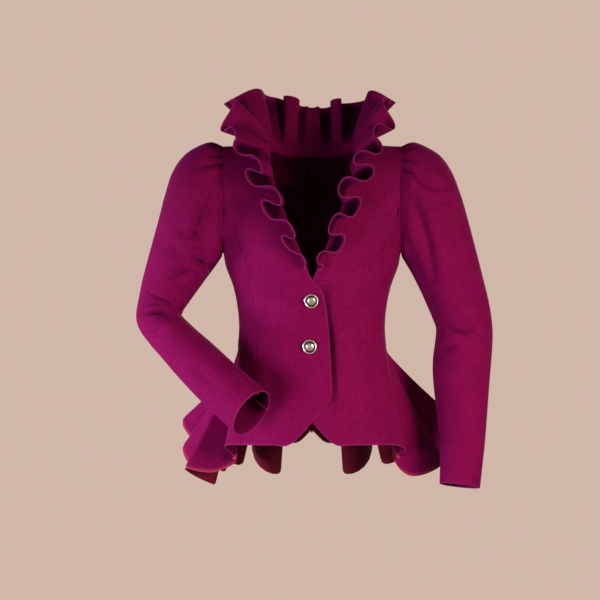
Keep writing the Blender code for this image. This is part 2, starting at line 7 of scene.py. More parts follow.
import bmesh
import bpy
import numpy as np
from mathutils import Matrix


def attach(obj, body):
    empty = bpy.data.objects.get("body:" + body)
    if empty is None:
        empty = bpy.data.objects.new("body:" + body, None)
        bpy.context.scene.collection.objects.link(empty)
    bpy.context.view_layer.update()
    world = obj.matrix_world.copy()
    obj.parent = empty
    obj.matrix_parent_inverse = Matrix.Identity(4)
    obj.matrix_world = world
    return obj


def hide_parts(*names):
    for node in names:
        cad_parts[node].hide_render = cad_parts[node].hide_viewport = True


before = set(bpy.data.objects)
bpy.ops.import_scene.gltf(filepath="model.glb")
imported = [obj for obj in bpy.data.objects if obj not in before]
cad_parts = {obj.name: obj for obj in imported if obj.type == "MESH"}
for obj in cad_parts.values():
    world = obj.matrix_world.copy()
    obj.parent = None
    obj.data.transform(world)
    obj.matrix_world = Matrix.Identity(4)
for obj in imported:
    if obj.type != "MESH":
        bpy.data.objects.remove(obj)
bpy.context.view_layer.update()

# View
# The camera stands straight in front and a little above, with a long lens, so that the jacket fills
# the same part of the picture as in the photo.
VIEW_MIDDLE = np.array((-0.0214, 0.0, -0.267))
VIEW_WIDTH = 1.068       # of the picture, at the jacket
VIEW_DISTANCE = 8.0
VIEW_RISE = np.radians(4.0)
lens = bpy.data.cameras.new("photo_view")
lens.sensor_width = 36.0
lens.lens = lens.sensor_width * VIEW_DISTANCE / VIEW_WIDTH
lens.clip_end = 200.0
camera = bpy.data.objects.new("photo_view", lens)
camera.location = VIEW_MIDDLE + VIEW_DISTANCE * np.array((0, -np.cos(VIEW_RISE), np.sin(VIEW_RISE)))
camera.rotation_euler = (np.pi / 2 - VIEW_RISE, 0, 0)
bpy.context.scene.collection.objects.link(camera)
bpy.context.scene.camera = camera
bpy.context.scene.view_settings.view_transform = "Standard"

# Fronts
# Two centre fronts and two side fronts of fulled plum wool, joined by a princess seam that runs from
# the armhole over the bust to the hem. The wearer's right front laps over the left and is cut away.
WOOL_WALL = 0.002
LAP_LIFT = 0.0029        # the upper front lies this much over the lower one
LAP_EDGE = (0.036, 0.080)      # across the front, where the lap begins to lift and where it is flat
LAP_TOP = (-0.205, -0.145)
ARMHOLE_X = 0.155
ARMHOLE_TOP = 0.004
ARMHOLE_BOTTOM = -0.184
ARMHOLE_HALF_DEPTH = 0.058
ARMHOLE_FLAT = np.sin(np.radians(80.0))   # past this share of the width the cloth lies flat
ARMHOLE_KEEP = 6         # power by which only the very edge keeps its oval down to the armpit
CHEST_NARROWING = (2.2, 3.7)   # power of the curve from the centre to the armhole, at the first and
CHEST_ROWS = (4, 8)            # the last of these sections
CHEST_FILLING = 1.4            # its second power, which ends it flat
SHOULDER_RISE = 0.010
ARMPIT_REACH = 0.030     # how far up and down the cloth under the arm is eased
ARMPIT_ROUNDS = 300
ARMPIT_EDGE = 0.12       # share of the width over which the easing grows from each side edge
BODY = np.array([        # height, half_width, front, back, neck, princess
    (0.004, 0.1550, 0.000, 0.0000, 0.0780, 0.1550),
    (-0.006, 0.1550, 0.028, 0.0400, 0.0765, 0.1550),
    (-0.013, 0.1550, 0.037, 0.0490, 0.0755, 0.1550),
    (-0.022, 0.1550, 0.046, 0.0570, 0.0745, 0.1550),
    (-0.050, 0.1550, 0.066, 0.0700, 0.0700, 0.1550),
    (-0.085, 0.1550, 0.085, 0.0800, 0.0575, 0.1550),
    (-0.118, 0.1550, 0.098, 0.0850, 0.0450, 0.1475),
    (-0.145, 0.1550, 0.107, 0.0870, 0.0340, 0.1360),
    (-0.168, 0.1550, 0.112, 0.0875, 0.0240, 0.1270),
    (-0.184, 0.1550, 0.114, 0.0870, 0.0175, 0.1200),
    (-0.205, 0.1515, 0.114, 0.0850, 0.0085, 0.1140),
    (-0.223, 0.1450, 0.113, 0.0830, 0.0000, 0.1100),
    (-0.240, 0.1385, 0.110, 0.0810, -0.0150, 0.1070),
    (-0.268, 0.1320, 0.105, 0.0780, -0.0235, 0.1020),
    (-0.300, 0.1280, 0.099, 0.0755, -0.0275, 0.0980),
    (-0.325, 0.1275, 0.095, 0.0755, -0.0300, 0.0965),
    (-0.343, 0.1290, 0.094, 0.0770, -0.0312, 0.0959),
])
NECK, PRINCESS = 4, 5    # columns of the seam lines
ROW_NAPE = 3
ROW_SIDE_TIP = 5.05      # the side front runs to a point at the armhole here
TIP_WIDTH = (0.0015, 0.0045)   # while it is this narrow, the point is tucked in behind the seam
TIP_TUCK = 0.005
ROW_ARMPIT = 9
ROW_RUFFLE_END = 10
ROW_WAIST = len(BODY) - 1
WAIST_Z = BODY[ROW_WAIST, 0]
WAIST_EASE = 12          # rows of the grid above and below the waist that are eased
WAIST_ROUNDS = 36
FINE_STEPS = 50          # for each row of a table, when a value is looked up in it
ROWS_EACH = 9            # rows of the grid for each section of the bodice
SKIRT_ROWS = 51
FRONT_COLUMNS = 56
SIDE_COLUMNS = 34
FRONT_RAYS = [           # waist_angle, heading, flare, length
    (-14.0, -14.0, 12.0, 0.085),
    (-11.0, -11.0, 12.0, 0.100),
    (-3.0, -3.0, 12.0, 0.124),
    (13.0, 12.0, 12.0, 0.172),
    (26.0, 25.0, 12.0, 0.176),
    (48.0, 46.0, 13.0, 0.179),
    (66.0, 58.0, 13.0, 0.184),
]
SIDE_RAYS = {
    "left": [
        (82.0, 60.0, 13.0, 0.196),
        (90.0, 66.0, 8.0, 0.201),
        (96.0, 80.0, 5.0, 0.208),
        (100.0, 82.0, 12.0, 0.240),
        (105.0, 110.0, 28.0, 0.243),
        (110.5, 121.0, 19.0, 0.245),
        (115.5, 117.0, 47.0, 0.245),
        (122.5, 138.0, 20.0, 0.245),
        (130.0, 138.0, 53.0, 0.248),
        (139.0, 152.0, 24.0, 0.252),
        (148.0, 158.0, 53.0, 0.262),
        (157.5, 168.0, 24.0, 0.275),
        (166.0, 173.0, 43.0, 0.285),
        (174.0, 177.5, 29.0, 0.215),
        (179.8, 180.0, 27.0, 0.190),
    ],
    "right": [
        (82.0, 40.0, 8.5, 0.195),
        (90.0, 42.0, 4.5, 0.202),
        (97.0, 90.0, 2.0, 0.210),
        (101.0, 82.0, 12.0, 0.233),
        (106.5, 80.0, 24.0, 0.243),
        (113.0, 104.0, 12.0, 0.260),
        (119.0, 130.0, 37.0, 0.244),
        (126.0, 140.0, 18.0, 0.250),
        (133.0, 141.0, 53.0, 0.250),
        (141.0, 152.0, 24.0, 0.254),
        (149.0, 158.0, 53.0, 0.262),
        (158.0, 168.0, 24.0, 0.275),
        (166.0, 173.0, 43.0, 0.285),
        (174.0, 177.5, 29.0, 0.215),
        (179.8, 180.0, 27.0, 0.190),
    ],
}
SIDES = {"left": 1, "right": -1}
SKIRT_ROUNDING = 0.15    # power of the growing flare, upright at the waist and whole at
SKIRT_FULL_FLARE = 0.2   # this far down the cloth
SEAM_BEND = 0.4          # how far before the seam line the cloth bends in, as a share of its wall
SEAM_DEPTHS = np.array((0.0002, 0.0014, 0.0032, 0.0055))   # of the turned-in allowance
SEAM_REACH = 0.008       # an allowance lifts the cloth above it this far from the seam,
SEAM_LIFT = 0.00035      # by this much on the whole,
SEAM_WAVER = 0.00009     # and by this much more or less
SEAM_WAVES = (0.0041, 0.0053)  # along waves of these lengths down and across, over 2 pi
CUT_EDGE = 0.0014        # how far in from a free edge the painted highlight on its cut reaches
RIM_ANGLES = np.radians((0, 30, 60, 90))   # round half of a cut edge
RIM_SHARE = 0.45         # a rounded edge takes up to this share of the step to the next row
CREASE_STEPS = 25
CREASE_FADE = 0.7        # power of the fade towards a crease's ends
CREASE_TURN = 0.35       # a crease is whole where the cloth faces its side by this much
RIDGE_PLACE = 1.5        # of the ridge beside a trough, in half widths
HOLLOW_ROUNDS = 150
HOLLOW_DEPTH = 0.005     # the painted shade darkens the colour wholly in a hollow this deep
HOLLOW_REACH = (0.002, 0.018)  # but fades out this near to a free edge
ROUND_FLUTES = (13, 19)  # rays between which the flutes are even and round
FLUTE_SWELL = 4.5        # a flute's sides swing out this far, in degrees


def smooth_rows(table, place):
    """Values at fractional rows of a table, on a Catmull-Rom curve through its rows."""
    table = np.asarray(table, float)
    place = np.asarray(place, float)
    low = np.clip(np.floor(place).astype(int), 0, len(table) - 2)
    t = (place - low)[..., None]
    before, start, end, after = (table[np.clip(low + k, 0, len(table) - 1)] for k in (-1, 0, 1, 2))
    bend = 2 * before - 5 * start + 4 * end - after
    twist = 3 * (start - end) + after - before
    return start + 0.5 * t * (end - before + t * (bend + t * twist))


def row_where(table, column, values):
    """The fractional rows at which a rising column of a table reaches the values."""
    rows = np.linspace(0, len(table) - 1, FINE_STEPS * len(table))
    return np.interp(values, smooth_rows(table, rows)[:, column], rows)


def smooth_step(value, low, high):
    """0 below low, 1 above high, and an even S between."""
    t = np.clip((value - low) / (high - low), 0, 1)
    return t * t * (3 - 2 * t)


def unit(vectors):
    """The vectors, each made one long."""
    return vectors / np.maximum(np.linalg.norm(vectors, axis=-1, keepdims=True), 1e-9)


def normals(points):
    """Which way a grid faces: across the cloth from the steps down it and along it."""
    return unit(np.cross(np.gradient(points, axis=0), np.gradient(points, axis=1)))


def lengths(points, axis):
    """The distance along the cloth from the first row or column to each point."""
    steps = np.linalg.norm(np.diff(points, axis=axis), axis=-1)
    return np.concatenate([0 * np.take(points, [0], axis)[..., 0], np.cumsum(steps, axis=axis)], axis=axis)


def bodice(row, angle, is_back):
    """Points of half the bodice at a section row and an angle from the centre.

    Below the armpit a section is a quarter ellipse. Above it the curve runs from the centre to the
    armhole, an upright oval in a plane at the shoulder point, and lies flat beside it.
    """
    height, half_width, front, back = np.moveaxis(smooth_rows(BODY, row)[..., :4], -1, 0)
    sine = np.sin(np.radians(angle))
    grow = smooth_step(row, *CHEST_ROWS)
    narrowing = CHEST_NARROWING[0] + (CHEST_NARROWING[1] - CHEST_NARROWING[0]) * grow
    chest = (1 - np.clip(np.abs(sine) / ARMHOLE_FLAT, 0, 1) ** narrowing) ** CHEST_FILLING
    above = smooth_step(ROW_ARMPIT - row, 0, 1)
    share = above * chest + (1 - above) * np.cos(np.radians(angle))
    rise = np.clip((height - ARMHOLE_BOTTOM) / (ARMHOLE_TOP - ARMHOLE_BOTTOM), 0, 1)
    edge = ARMHOLE_HALF_DEPTH * np.sqrt(np.clip(1 - (2 * rise - 1) ** 2, 0, None))
    edge = edge * above ** (0.5 * (1 - sine ** ARMHOLE_KEEP))
    depth = back if is_back else -front
    y = np.sign(is_back - 0.5) * edge * (1 - share) + depth * share
    z = height + SHOULDER_RISE * rise ** 2 * (1 - np.abs(sine))
    return np.stack(np.broadcast_arrays(half_width * sine, y, z), axis=-1)


def seam_angle(row, column):
    """The angle at which a seam line's column of the bodice table crosses its section."""
    section = smooth_rows(BODY, row)
    return np.degrees(np.arcsin(np.clip(section[..., column] / section[..., 1], -1, 1)))


def skirt(rays, place, level):
    """Points of half the skirt: a ray of cloth at a fractional row, and a share of its length.

    A ray leaves the waist upright and bends out to its flare. A sine over each step from crest to
    valley swings the rays of the even flutes, so that both are round.
    """
    waist_angle, heading, flare, length = np.moveaxis(smooth_rows(rays, place), -1, 0)
    is_even = (place > ROUND_FLUTES[0]) & (place < ROUND_FLUTES[1])
    heading = heading + is_even * FLUTE_SWELL * np.sin(2 * np.pi * place)
    half_width, front, back = BODY[ROW_WAIST, 1:4]
    turn, way, lean = (np.radians(v) for v in (waist_angle, heading, flare))
    below = length * level
    reach = np.sin(lean) * below * (below / SKIRT_FULL_FLARE) ** SKIRT_ROUNDING
    x = half_width * np.sin(turn) + reach * np.sin(way)
    y = -np.where(waist_angle < 90, front, back) * np.cos(turn) - reach * np.cos(way)
    z = WAIST_Z - below * np.cos(lean)
    return np.stack(np.broadcast_arrays(x, y, z), axis=-1)


def eased_armpit(points):
    """The grid with the cloth under the arm eased by a running mean down each column.

    It is eased most near the armhole's lowest point, and not at all along the grid's side edges.
    """
    share = np.linspace(0, 1, points.shape[1])
    inside = smooth_step(np.minimum(share, 1 - share), 0, ARMPIT_EDGE)
    near = np.exp(-((points[1:-1, :, 2] - ARMHOLE_BOTTOM) / ARMPIT_REACH) ** 2)
    weight = (inside * near)[..., None] / 2
    for _ in range(ARMPIT_ROUNDS):
        points[1:-1] += weight * ((points[:-2] + points[2:]) / 2 - points[1:-1])
    return points


def lapped(points, side):
    """A front's points, with those of the wearer's right lifted over the left near the centre."""
    if side == "left":
        return points
    over = 1 - smooth_step(points[..., 0], *LAP_EDGE)
    below = 1 - smooth_step(points[..., 2], *LAP_TOP)
    return points - np.multiply.outer(LAP_LIFT * over * below, (0, 1, 0))


def front_panel(side, rows, angles):
    """A front: the bodice at its rows and angles, and the skirt below on the waist's angles.

    The join at the waist has no seam, so the cloth there is eased by a running mean down each column.
    """
    rays = np.array(FRONT_RAYS + SIDE_RAYS[side])
    place = row_where(rays, 0, angles[-1])
    levels = np.linspace(0, 1, SKIRT_ROWS)[1:, None]
    points = np.concatenate([bodice(rows, angles, False), skirt(rays, place[None, :], levels)])
    first, last = len(rows) - 1 - WAIST_EASE, len(rows) + WAIST_EASE
    eased, above, below = (slice(first + k, last + k) for k in (0, -1, 1))
    for _ in range(WAIST_ROUNDS):
        points[eased] = (points[above] + 2 * points[eased] + points[below]) / 4
    return lapped(eased_armpit(points), side)


def creased(points, table):
    """The grid with soft creases pressed into it, one for each row of the table.

    A crease follows a bowed line in front view (x outwards, z up). Across it the cloth sinks in a
    bell of the given half width and stands up in a second bell beside it; along it both fade out to
    the ends. It marks only the side of the garment that faces the way the row says: -1 front, 1 back.
    """
    facing = normals(points)
    lift = np.zeros(points.shape[:2])
    share = np.linspace(0, 1, CREASE_STEPS)
    hump = 4 * share * (1 - share)
    for x0, z0, x1, z1, bow, half_width, trough, ridge, face in table:
        run = np.array((x1 - x0, z1 - z0))
        side_way = np.array((-run[1], run[0])) / np.linalg.norm(run)
        path = (x0, z0) + share[:, None] * run + bow * hump[:, None] * side_way
        gap = points[..., None, ::2] - path
        nearest = np.argmin(np.sum(gap ** 2, axis=-1), axis=-1)
        gap = np.take_along_axis(gap, nearest[..., None, None], axis=2)[:, :, 0]
        tangent = unit(np.gradient(path, axis=0))[nearest]
        off = tangent[..., 0] * gap[..., 1] - tangent[..., 1] * gap[..., 0]
        away = np.linalg.norm(gap, axis=-1) - np.abs(off)
        fade = hump[nearest] ** CREASE_FADE * np.exp(-(away / half_width) ** 2)
        fade = fade * smooth_step(face * facing[..., 1], 0.0, CREASE_TURN)
        sunk = trough * np.exp(-(off / half_width) ** 2)
        lift += fade * (ridge * np.exp(-(off / half_width - RIDGE_PLACE) ** 2) - sunk)
    return points + facing * lift[..., None]


def edge_distances(points):
    """How far each point lies from the cloth's first and last rows and first and last columns."""
    down, along = lengths(points, 0), lengths(points, 1)
    return down, down[-1:] - down, along, along[:, -1:] - along


def turned_in(points, wall, at_start, at_end):
    """The grid with a seam allowance turned in at its first or last row, or at both.

    The cloth bends back at the seam line and runs in behind the panel, square to it.
    """
    facing = normals(points)
    bent = []
    for edge, inner, front in ((points[0], points[1], facing[0]), (points[-1], points[-2], facing[-1])):
        back = unit(inner - edge) * SEAM_BEND * wall
        bent.append(edge + back - front * SEAM_DEPTHS[:, None, None])
    first = bent[0][::-1] if at_start else points[:1]
    last = bent[1] if at_end else points[-1:]
    return np.concatenate([first, points[1:-1], last])


def hollows(points):
    """How far each point lies below the mean of the cloth round it, seen from the side it faces.

    The mean comes from sharing every point out among its four neighbours, again and again.
    """
    mean = points
    for _ in range(HOLLOW_ROUNDS):
        around = np.pad(mean, ((1, 1), (1, 1), (0, 0)), mode="edge")
        mean = (around[:-2, 1:-1] + around[2:, 1:-1] + around[1:-1, :-2] + around[1:-1, 2:]) / 4
    return np.sum((mean - points) * normals(points), axis=-1)


def rim_rows(points, radius):
    """The grid with three more rows beside its first and last, within reach of a rounded edge."""
    reach = radius * (1 - np.cos(RIM_ANGLES[1:]))[:, None, None]
    rows = []
    for start, step in ((points[0], points[1] - points[0]), (points[-1], points[-2] - points[-1])):
        room = RIM_SHARE * np.linalg.norm(step, axis=-1, keepdims=True)
        rows.append(start + unit(step) * np.minimum(reach, reach / radius * room))
    return np.concatenate([points[:1], rows[0], points[1:-1], rows[1][::-1], points[-1:]])


def node_group(name, inputs, outputs):
    """An empty shader group with named sockets, and its own input and output nodes."""
    group = bpy.data.node_groups.new(name, "ShaderNodeTree")
    for in_out, sockets in (("INPUT", inputs), ("OUTPUT", outputs)):
        for label, kind in sockets:
            group.interface.new_socket(label, in_out=in_out, socket_type=f"NodeSocket{kind}")
    return group, group.nodes.new("NodeGroupInput"), group.nodes.new("NodeGroupOutput")


def node(tree, kind, values=None, links=None, **settings):
    """A node with its settings, its sockets' values, and the outputs that feed its sockets."""
    made = tree.nodes.new(f"ShaderNode{kind}")
    for key, value in settings.items():
        setattr(made, key, value)
    for key, value in (values or {}).items():
        made.inputs[key].default_value = value
    for key, source in (links or {}).items():
        tree.links.new(source, made.inputs[key])
    return made


MIX_A, MIX_B, MIX_RESULT = 6, 7, 2   # a Mix node's colour sockets, whose names repeat


def colour_mix(tree, share, low, high):
    """The colour low where share is 0 and high where it is 1. low may come from another node."""
    made = node(tree, "Mix", {MIX_B: high}, {"Factor": share}, data_type="RGBA")
    if isinstance(low, tuple):
        made.inputs[MIX_A].default_value = low
    else:
        tree.links.new(low, made.inputs[MIX_A])
    return made.outputs[MIX_RESULT]


def mark(tree, name, share):
    """A share of one of the cloth's own attributes: the edge one, or the one for painted shade in hollows."""
    stored = node(tree, "Attribute", attribute_name=name)
    return node(tree, "Math", {1: share}, {0: stored.outputs["Fac"]}, operation="MULTIPLY").outputs[0]


def plain_finish(name, constants):
    """A material whose shader has only the values that are the same all over, and that shader."""
    looks = bpy.data.materials.new(name)
    looks.use_nodes = True
    surface = looks.node_tree.nodes["Principled BSDF"]
    for label, value in constants.items():
        surface.inputs[label].default_value = value
    return looks, surface


def feed(tree, receiver, outputs):
    """Links each output to the receiver's input of that name."""
    for label, output in outputs.items():
        tree.links.new(output, receiver.inputs[label])


def wool_group():
    """Fulled wool: a faint twill under a felted nap, with clouds where the nap lies different ways.

    height is the twill's ridges half buried in fibres and their clumps; cloud is a slow mottle; fuzz
    is the flecks of fibres and clumps together.
    """
    group, entry, leave = node_group("fulled_wool", [("Grain", "Vector"), ("Place", "Vector")],
                                     [("Height", "Float"), ("Cloud", "Float"), ("Fuzz", "Float")])
    grain, place = {"Vector": entry.outputs["Grain"]}, {"Vector": entry.outputs["Place"]}
    twill = node(group, "TexWave", {"Scale": 330.0, "Distortion": 1.6, "Detail": 2.0, "Detail Scale": 2.0},
                 grain, bands_direction="DIAGONAL").outputs["Color"]
    fuzz = node(group, "TexNoise", {"Scale": 950.0, "Detail": 4.0, "Roughness": 0.65}, place).outputs["Fac"]
    clumps = node(group, "TexNoise", {"Scale": 210.0, "Detail": 3.0, "Roughness": 0.6}, place).outputs["Fac"]
    cloud = node(group, "TexNoise", {"Scale": 24.0, "Detail": 3.0, "Roughness": 0.55}, place).outputs["Fac"]
    mottle = node(group, "Math", links={0: fuzz, 1: clumps}, operation="ADD").outputs[0]
    felt = node(group, "Math", {1: 0.22}, {0: twill}, operation="MULTIPLY").outputs[0]
    for fibres, share in ((fuzz, 0.8), (clumps, 0.7)):
        felt = node(group, "Math", {1: share}, {0: fibres, 2: felt}, operation="MULTIPLY_ADD").outputs[0]
    feed(group, leave, {"Height": felt, "Cloud": cloud, "Fuzz": mottle})
    return group


WOOL_DEEP = (0.138, 0.0015, 0.040, 1)
WOOL_BRIGHT = (0.196, 0.0029, 0.059, 1)
# painted highlight along the cut edges of the wool
WOOL_EDGE_HIGHLIGHT = (0.300, 0.030, 0.140, 1)
# painted shade, laid into the hollows of the cloth
WOOL_HOLLOW_SHADE = (0.012, 0.0003, 0.006, 1)
wool, surface = plain_finish("plum_wool", {
    "Specular IOR Level": 0.02,
    "Sheen Weight": 0.14,
    "Sheen Roughness": 0.42,
    "Sheen Tint": (0.75, 0.03, 0.70, 1),
})
tree = wool.node_tree
grain_map = node(tree, "UVMap", uv_map="grain")
object_map = node(tree, "TexCoord")
felt = node(tree, "Group", node_tree=wool_group())
feed(tree, felt, {"Grain": grain_map.outputs["UV"], "Place": object_map.outputs["Object"]})
tone = node(tree, "MapRange", {"From Min": 0.3, "From Max": 0.7, "To Min": 0.25, "To Max": 0.75},
            {"Value": felt.outputs["Cloud"]})
flecks = node(tree, "MapRange", {"From Min": 0.75, "From Max": 1.25, "To Min": -0.6, "To Max": 0.6},
              {"Value": felt.outputs["Fuzz"]})
mixed = node(tree, "Math", links={0: tone.outputs[0], 1: flecks.outputs[0]}, operation="ADD", use_clamp=True)
base_tone = colour_mix(tree, mixed.outputs[0], WOOL_DEEP, WOOL_BRIGHT)
# Painted highlight: the wool is paler towards its cut edges.
edge_highlit = colour_mix(tree, mark(tree, "edge", 0.42), base_tone, WOOL_EDGE_HIGHLIGHT)
# Painted shade: the wool darkens almost to black in its hollows.
hollow_shaded = colour_mix(tree, mark(tree, "hollow_shade", 0.92), edge_highlit, WOOL_HOLLOW_SHADE)
dull = node(tree, "MapRange", {"From Max": 2.0, "To Min": 0.72, "To Max": 0.92},
            {"Value": felt.outputs["Fuzz"]})
nap = node(tree, "Bump", {"Strength": 0.35, "Distance": 0.0006}, {"Height": felt.outputs["Height"]})
feed(tree, surface, {"Base Color": hollow_shaded, "Roughness": dull.outputs[0], "Normal": nap.outputs[0]})


def seamed(points, wall, offset, seams):
    """The grid with its seam allowances, which lift the cloth beside each sewn edge a little, unevenly.

    On cloth that is given by its inner face they are turned in too.
    """
    nears = edge_distances(points)
    waves = np.sin(nears[0] / SEAM_WAVES[0]) + np.sin(nears[2] / SEAM_WAVES[1] + 1)
    allowance = sum(sewn * np.exp(-(near / SEAM_REACH) ** 2) for near, sewn in zip(nears, seams))
    points = points + normals(points) * (allowance * (SEAM_LIFT + SEAM_WAVER * waves))[..., None]
    if offset:
        points = turned_in(points, wall, *seams[:2])
        points = turned_in(points.swapaxes(0, 1)[:, ::-1], wall, *seams[2:])[:, ::-1].swapaxes(0, 1)
    return points


def both_faces(outer, inner):
    """Values for a whole shell: the outer face's, then the inner one's without the rim they share."""
    size = outer[0, 0].size
    return np.concatenate([outer.reshape(-1, size), inner[1:-1, 1:-1].reshape(-1, size)])


def dressed(mesh, solid, looks):
    """The mesh as a piece of the jacket that stands for its solid."""
    mesh.shade_smooth()
    mesh.materials.append(looks)
    piece = bpy.data.objects.new(mesh.name, mesh)
    bpy.context.scene.collection.objects.link(piece)
    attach(piece, "root")
    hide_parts(solid)
    return piece


def cloth(solid, points, side, seams, looks=wool, wall=WOOL_WALL,
          offset=1, edge_width=CUT_EDGE, edge_inside=1.0):
    """A piece of cloth as a closed shell with rounded edges, which stands for its solid.

    points is the grid of its inner face (offset 1) or of its middle (offset 0). seams marks which of
    its first and last rows and first and last columns are sewn. At the other edges the attribute edge
    rises to 1: a painted highlight on wool, the coral band on satin. Away from them the hollow
    attribute rises to 1 where the cloth sinks in, and darkens it there as painted shade.
    """
    points = rim_rows(seamed(points, wall, offset, seams), wall / 2)
    points = rim_rows(points.swapaxes(0, 1), wall / 2).swapaxes(0, 1)
    rows, columns = points.shape[:2]
    rounding = [np.ones(count) for count in (rows, columns)]
    for share in rounding:
        share[:4] = np.sin(RIM_ANGLES)
        share[-4:] = share[3::-1]
    facing = normals(points)
    middle = points + facing * wall / 2 * offset
    half = facing * (wall / 2 * rounding[0][:, None] * rounding[1])[..., None]
    sign = SIDES[side]
    places = both_faces(middle + half, middle - half) * (sign, 1, 1)
    number = np.arange(rows * columns).reshape(rows, columns)
    under = number.copy()
    under[1:-1, 1:-1] = rows * columns + np.arange((rows - 2) * (columns - 2)).reshape(rows - 2, -1)
    faces = []
    for grid, turn in ((number, sign), (under, -sign)):
        corners = [grid[:-1, :-1], grid[1:, :-1], grid[1:, 1:], grid[:-1, 1:]]
        faces.append(np.stack(corners[::turn], axis=-1).reshape(-1, 4))
    faces = np.concatenate(faces)
    mesh = bpy.data.meshes.new(f"{solid}_cloth")
    mesh.vertices.add(len(places))
    mesh.vertices.foreach_set("co", places.ravel())
    mesh.loops.add(faces.size)
    mesh.loops.foreach_set("vertex_index", faces.ravel())
    mesh.polygons.add(len(faces))
    mesh.polygons.foreach_set("loop_start", np.arange(0, faces.size, 4))
    mesh.update(calc_edges=True)
    mesh.validate()
    nears = edge_distances(middle)
    across, down = np.mean(nears[2], axis=0), np.mean(nears[0], axis=1)[:, None]
    grain = np.stack(np.broadcast_arrays(across, -down), axis=-1)
    grain = both_faces(grain, grain)[faces.ravel()]
    mesh.uv_layers.new(name="grain").data.foreach_set("uv", grain.ravel())
    edge = np.zeros((rows, columns))
    hollow_shade = hollows(middle) / HOLLOW_DEPTH
    for near in (near for near, sewn in zip(nears, seams) if not sewn):
        edge = np.maximum(edge, np.exp(-(near / edge_width) ** 2))
        hollow_shade = hollow_shade * smooth_step(near, *HOLLOW_REACH)
    edge = both_faces(edge, edge * edge_inside)
    hollow_shade = np.clip(both_faces(hollow_shade, -hollow_shade), 0, 1)
    for name, values in (("edge", edge), ("hollow_shade", hollow_shade)):
        mesh.attributes.new(name, "FLOAT", "POINT").data.foreach_set("value", values.ravel())
    dressed(mesh, solid, looks)


FRONT_CREASES = [        # x0, z0, x1, z1, bow, half_width, trough, ridge, face
    (0.145, -0.150, 0.098, -0.205, 0.006, 0.0130, 0.0018, 0.0012, -1),
    (0.126, -0.300, 0.070, -0.322, 0.004, 0.0080, 0.0011, 0.0008, -1),
    (0.124, -0.338, 0.078, -0.346, -0.003, 0.0070, 0.0010, 0.0008, -1),
    (0.040, -0.236, 0.084, -0.262, -0.006, 0.0120, 0.0012, 0.0009, -1),
    (0.028, -0.318, 0.060, -0.300, 0.004, 0.0090, 0.0009, 0.0006, -1),
    (0.106, -0.365, 0.118, -0.500, 0.004, 0.0120, 0.0022, 0.0018, -1),
    (0.070, -0.380, 0.076, -0.480, -0.003, 0.0130, 0.0012, 0.0010, -1),
]
LAP_CREASES = {          # the lower front sinks beside the edge that laps over it
    "left": [(0.0200, -0.205, 0.0400, -0.470, 0.0050, 0.0095, 0.0075, 0.0, -1)],
    "right": [],
}
for side in SIDES:
    rows = np.linspace(0, ROW_WAIST, ROWS_EACH * ROW_WAIST + 1)[:, None]
    start, seam = seam_angle(rows, NECK), seam_angle(rows, PRINCESS)
    points = front_panel(side, rows, start + (seam - start) * np.linspace(0, 1, FRONT_COLUMNS))
    points = creased(points, FRONT_CREASES + LAP_CREASES[side])
    cloth(f"front_{side}", points, side, (1, 0, 0, 1))
    count = int(ROWS_EACH * (ROW_WAIST - ROW_SIDE_TIP)) + 1
    rows = np.linspace(ROW_SIDE_TIP, ROW_WAIST, count)[:, None]
    seam = seam_angle(rows, PRINCESS)
    points = front_panel(side, rows, seam + (90 - seam) * np.linspace(0, 1, SIDE_COLUMNS))
    points[..., 1] += TIP_TUCK * (1 - smooth_step(ARMHOLE_X - points[:, :1, 0], *TIP_WIDTH))
    cloth(f"side_front_{side}", creased(points, FRONT_CREASES), side, (1, 0, 1, 1))

# Backs
# Two backs of the same wool with a seam down the centre, hollowed a little at the neck. They are cut
# off at the waist, where the tails are sewn on.
BACK_COLUMNS = 56
NECK_ROWS = 30           # rows of the grid round the neck, close where it curves most
BACK_CREASES = [
    (0.020, -0.296, 0.095, -0.318, 0.004, 0.0085, 0.0013, 0.0010, 1),
    (0.128, -0.282, 0.060, -0.276, -0.003, 0.0080, 0.0010, 0.0009, 1),
    (0.142, -0.120, 0.070, -0.170, 0.006, 0.0150, 0.0020, 0.0014, 1),
    (0.148, -0.175, 0.088, -0.205, 0.004, 0.0110, 0.0015, 0.0011, 1),
    (0.030, -0.060, 0.110, -0.048, 0.004, 0.0130, 0.0011, 0.0008, 1),
]


def neck_angle(row):
    """The angle of the back's inner edge: a quarter oval round the neck, and then the centre seam."""
    neck = BODY[0, NECK] / ARMHOLE_X * np.sqrt(np.clip(1 - (row / ROW_NAPE) ** 2, 0, 1))
    return np.degrees(np.arcsin(neck))


for side in SIDES:
    rows = np.concatenate([ROW_NAPE * np.sin(np.linspace(0, np.pi / 2, NECK_ROWS)),
                           np.linspace(ROW_NAPE, ROW_WAIST, ROWS_EACH * (ROW_WAIST - ROW_NAPE))[1:]])[:, None]
    start = neck_angle(rows)
    points = bodice(rows, start + (90 - start) * np.linspace(0, 1, BACK_COLUMNS), True)
    points = eased_armpit(points)[:, ::-1]
    cloth(f"back_{side}", creased(points, BACK_CREASES), side, (1, 1, 1, 1))

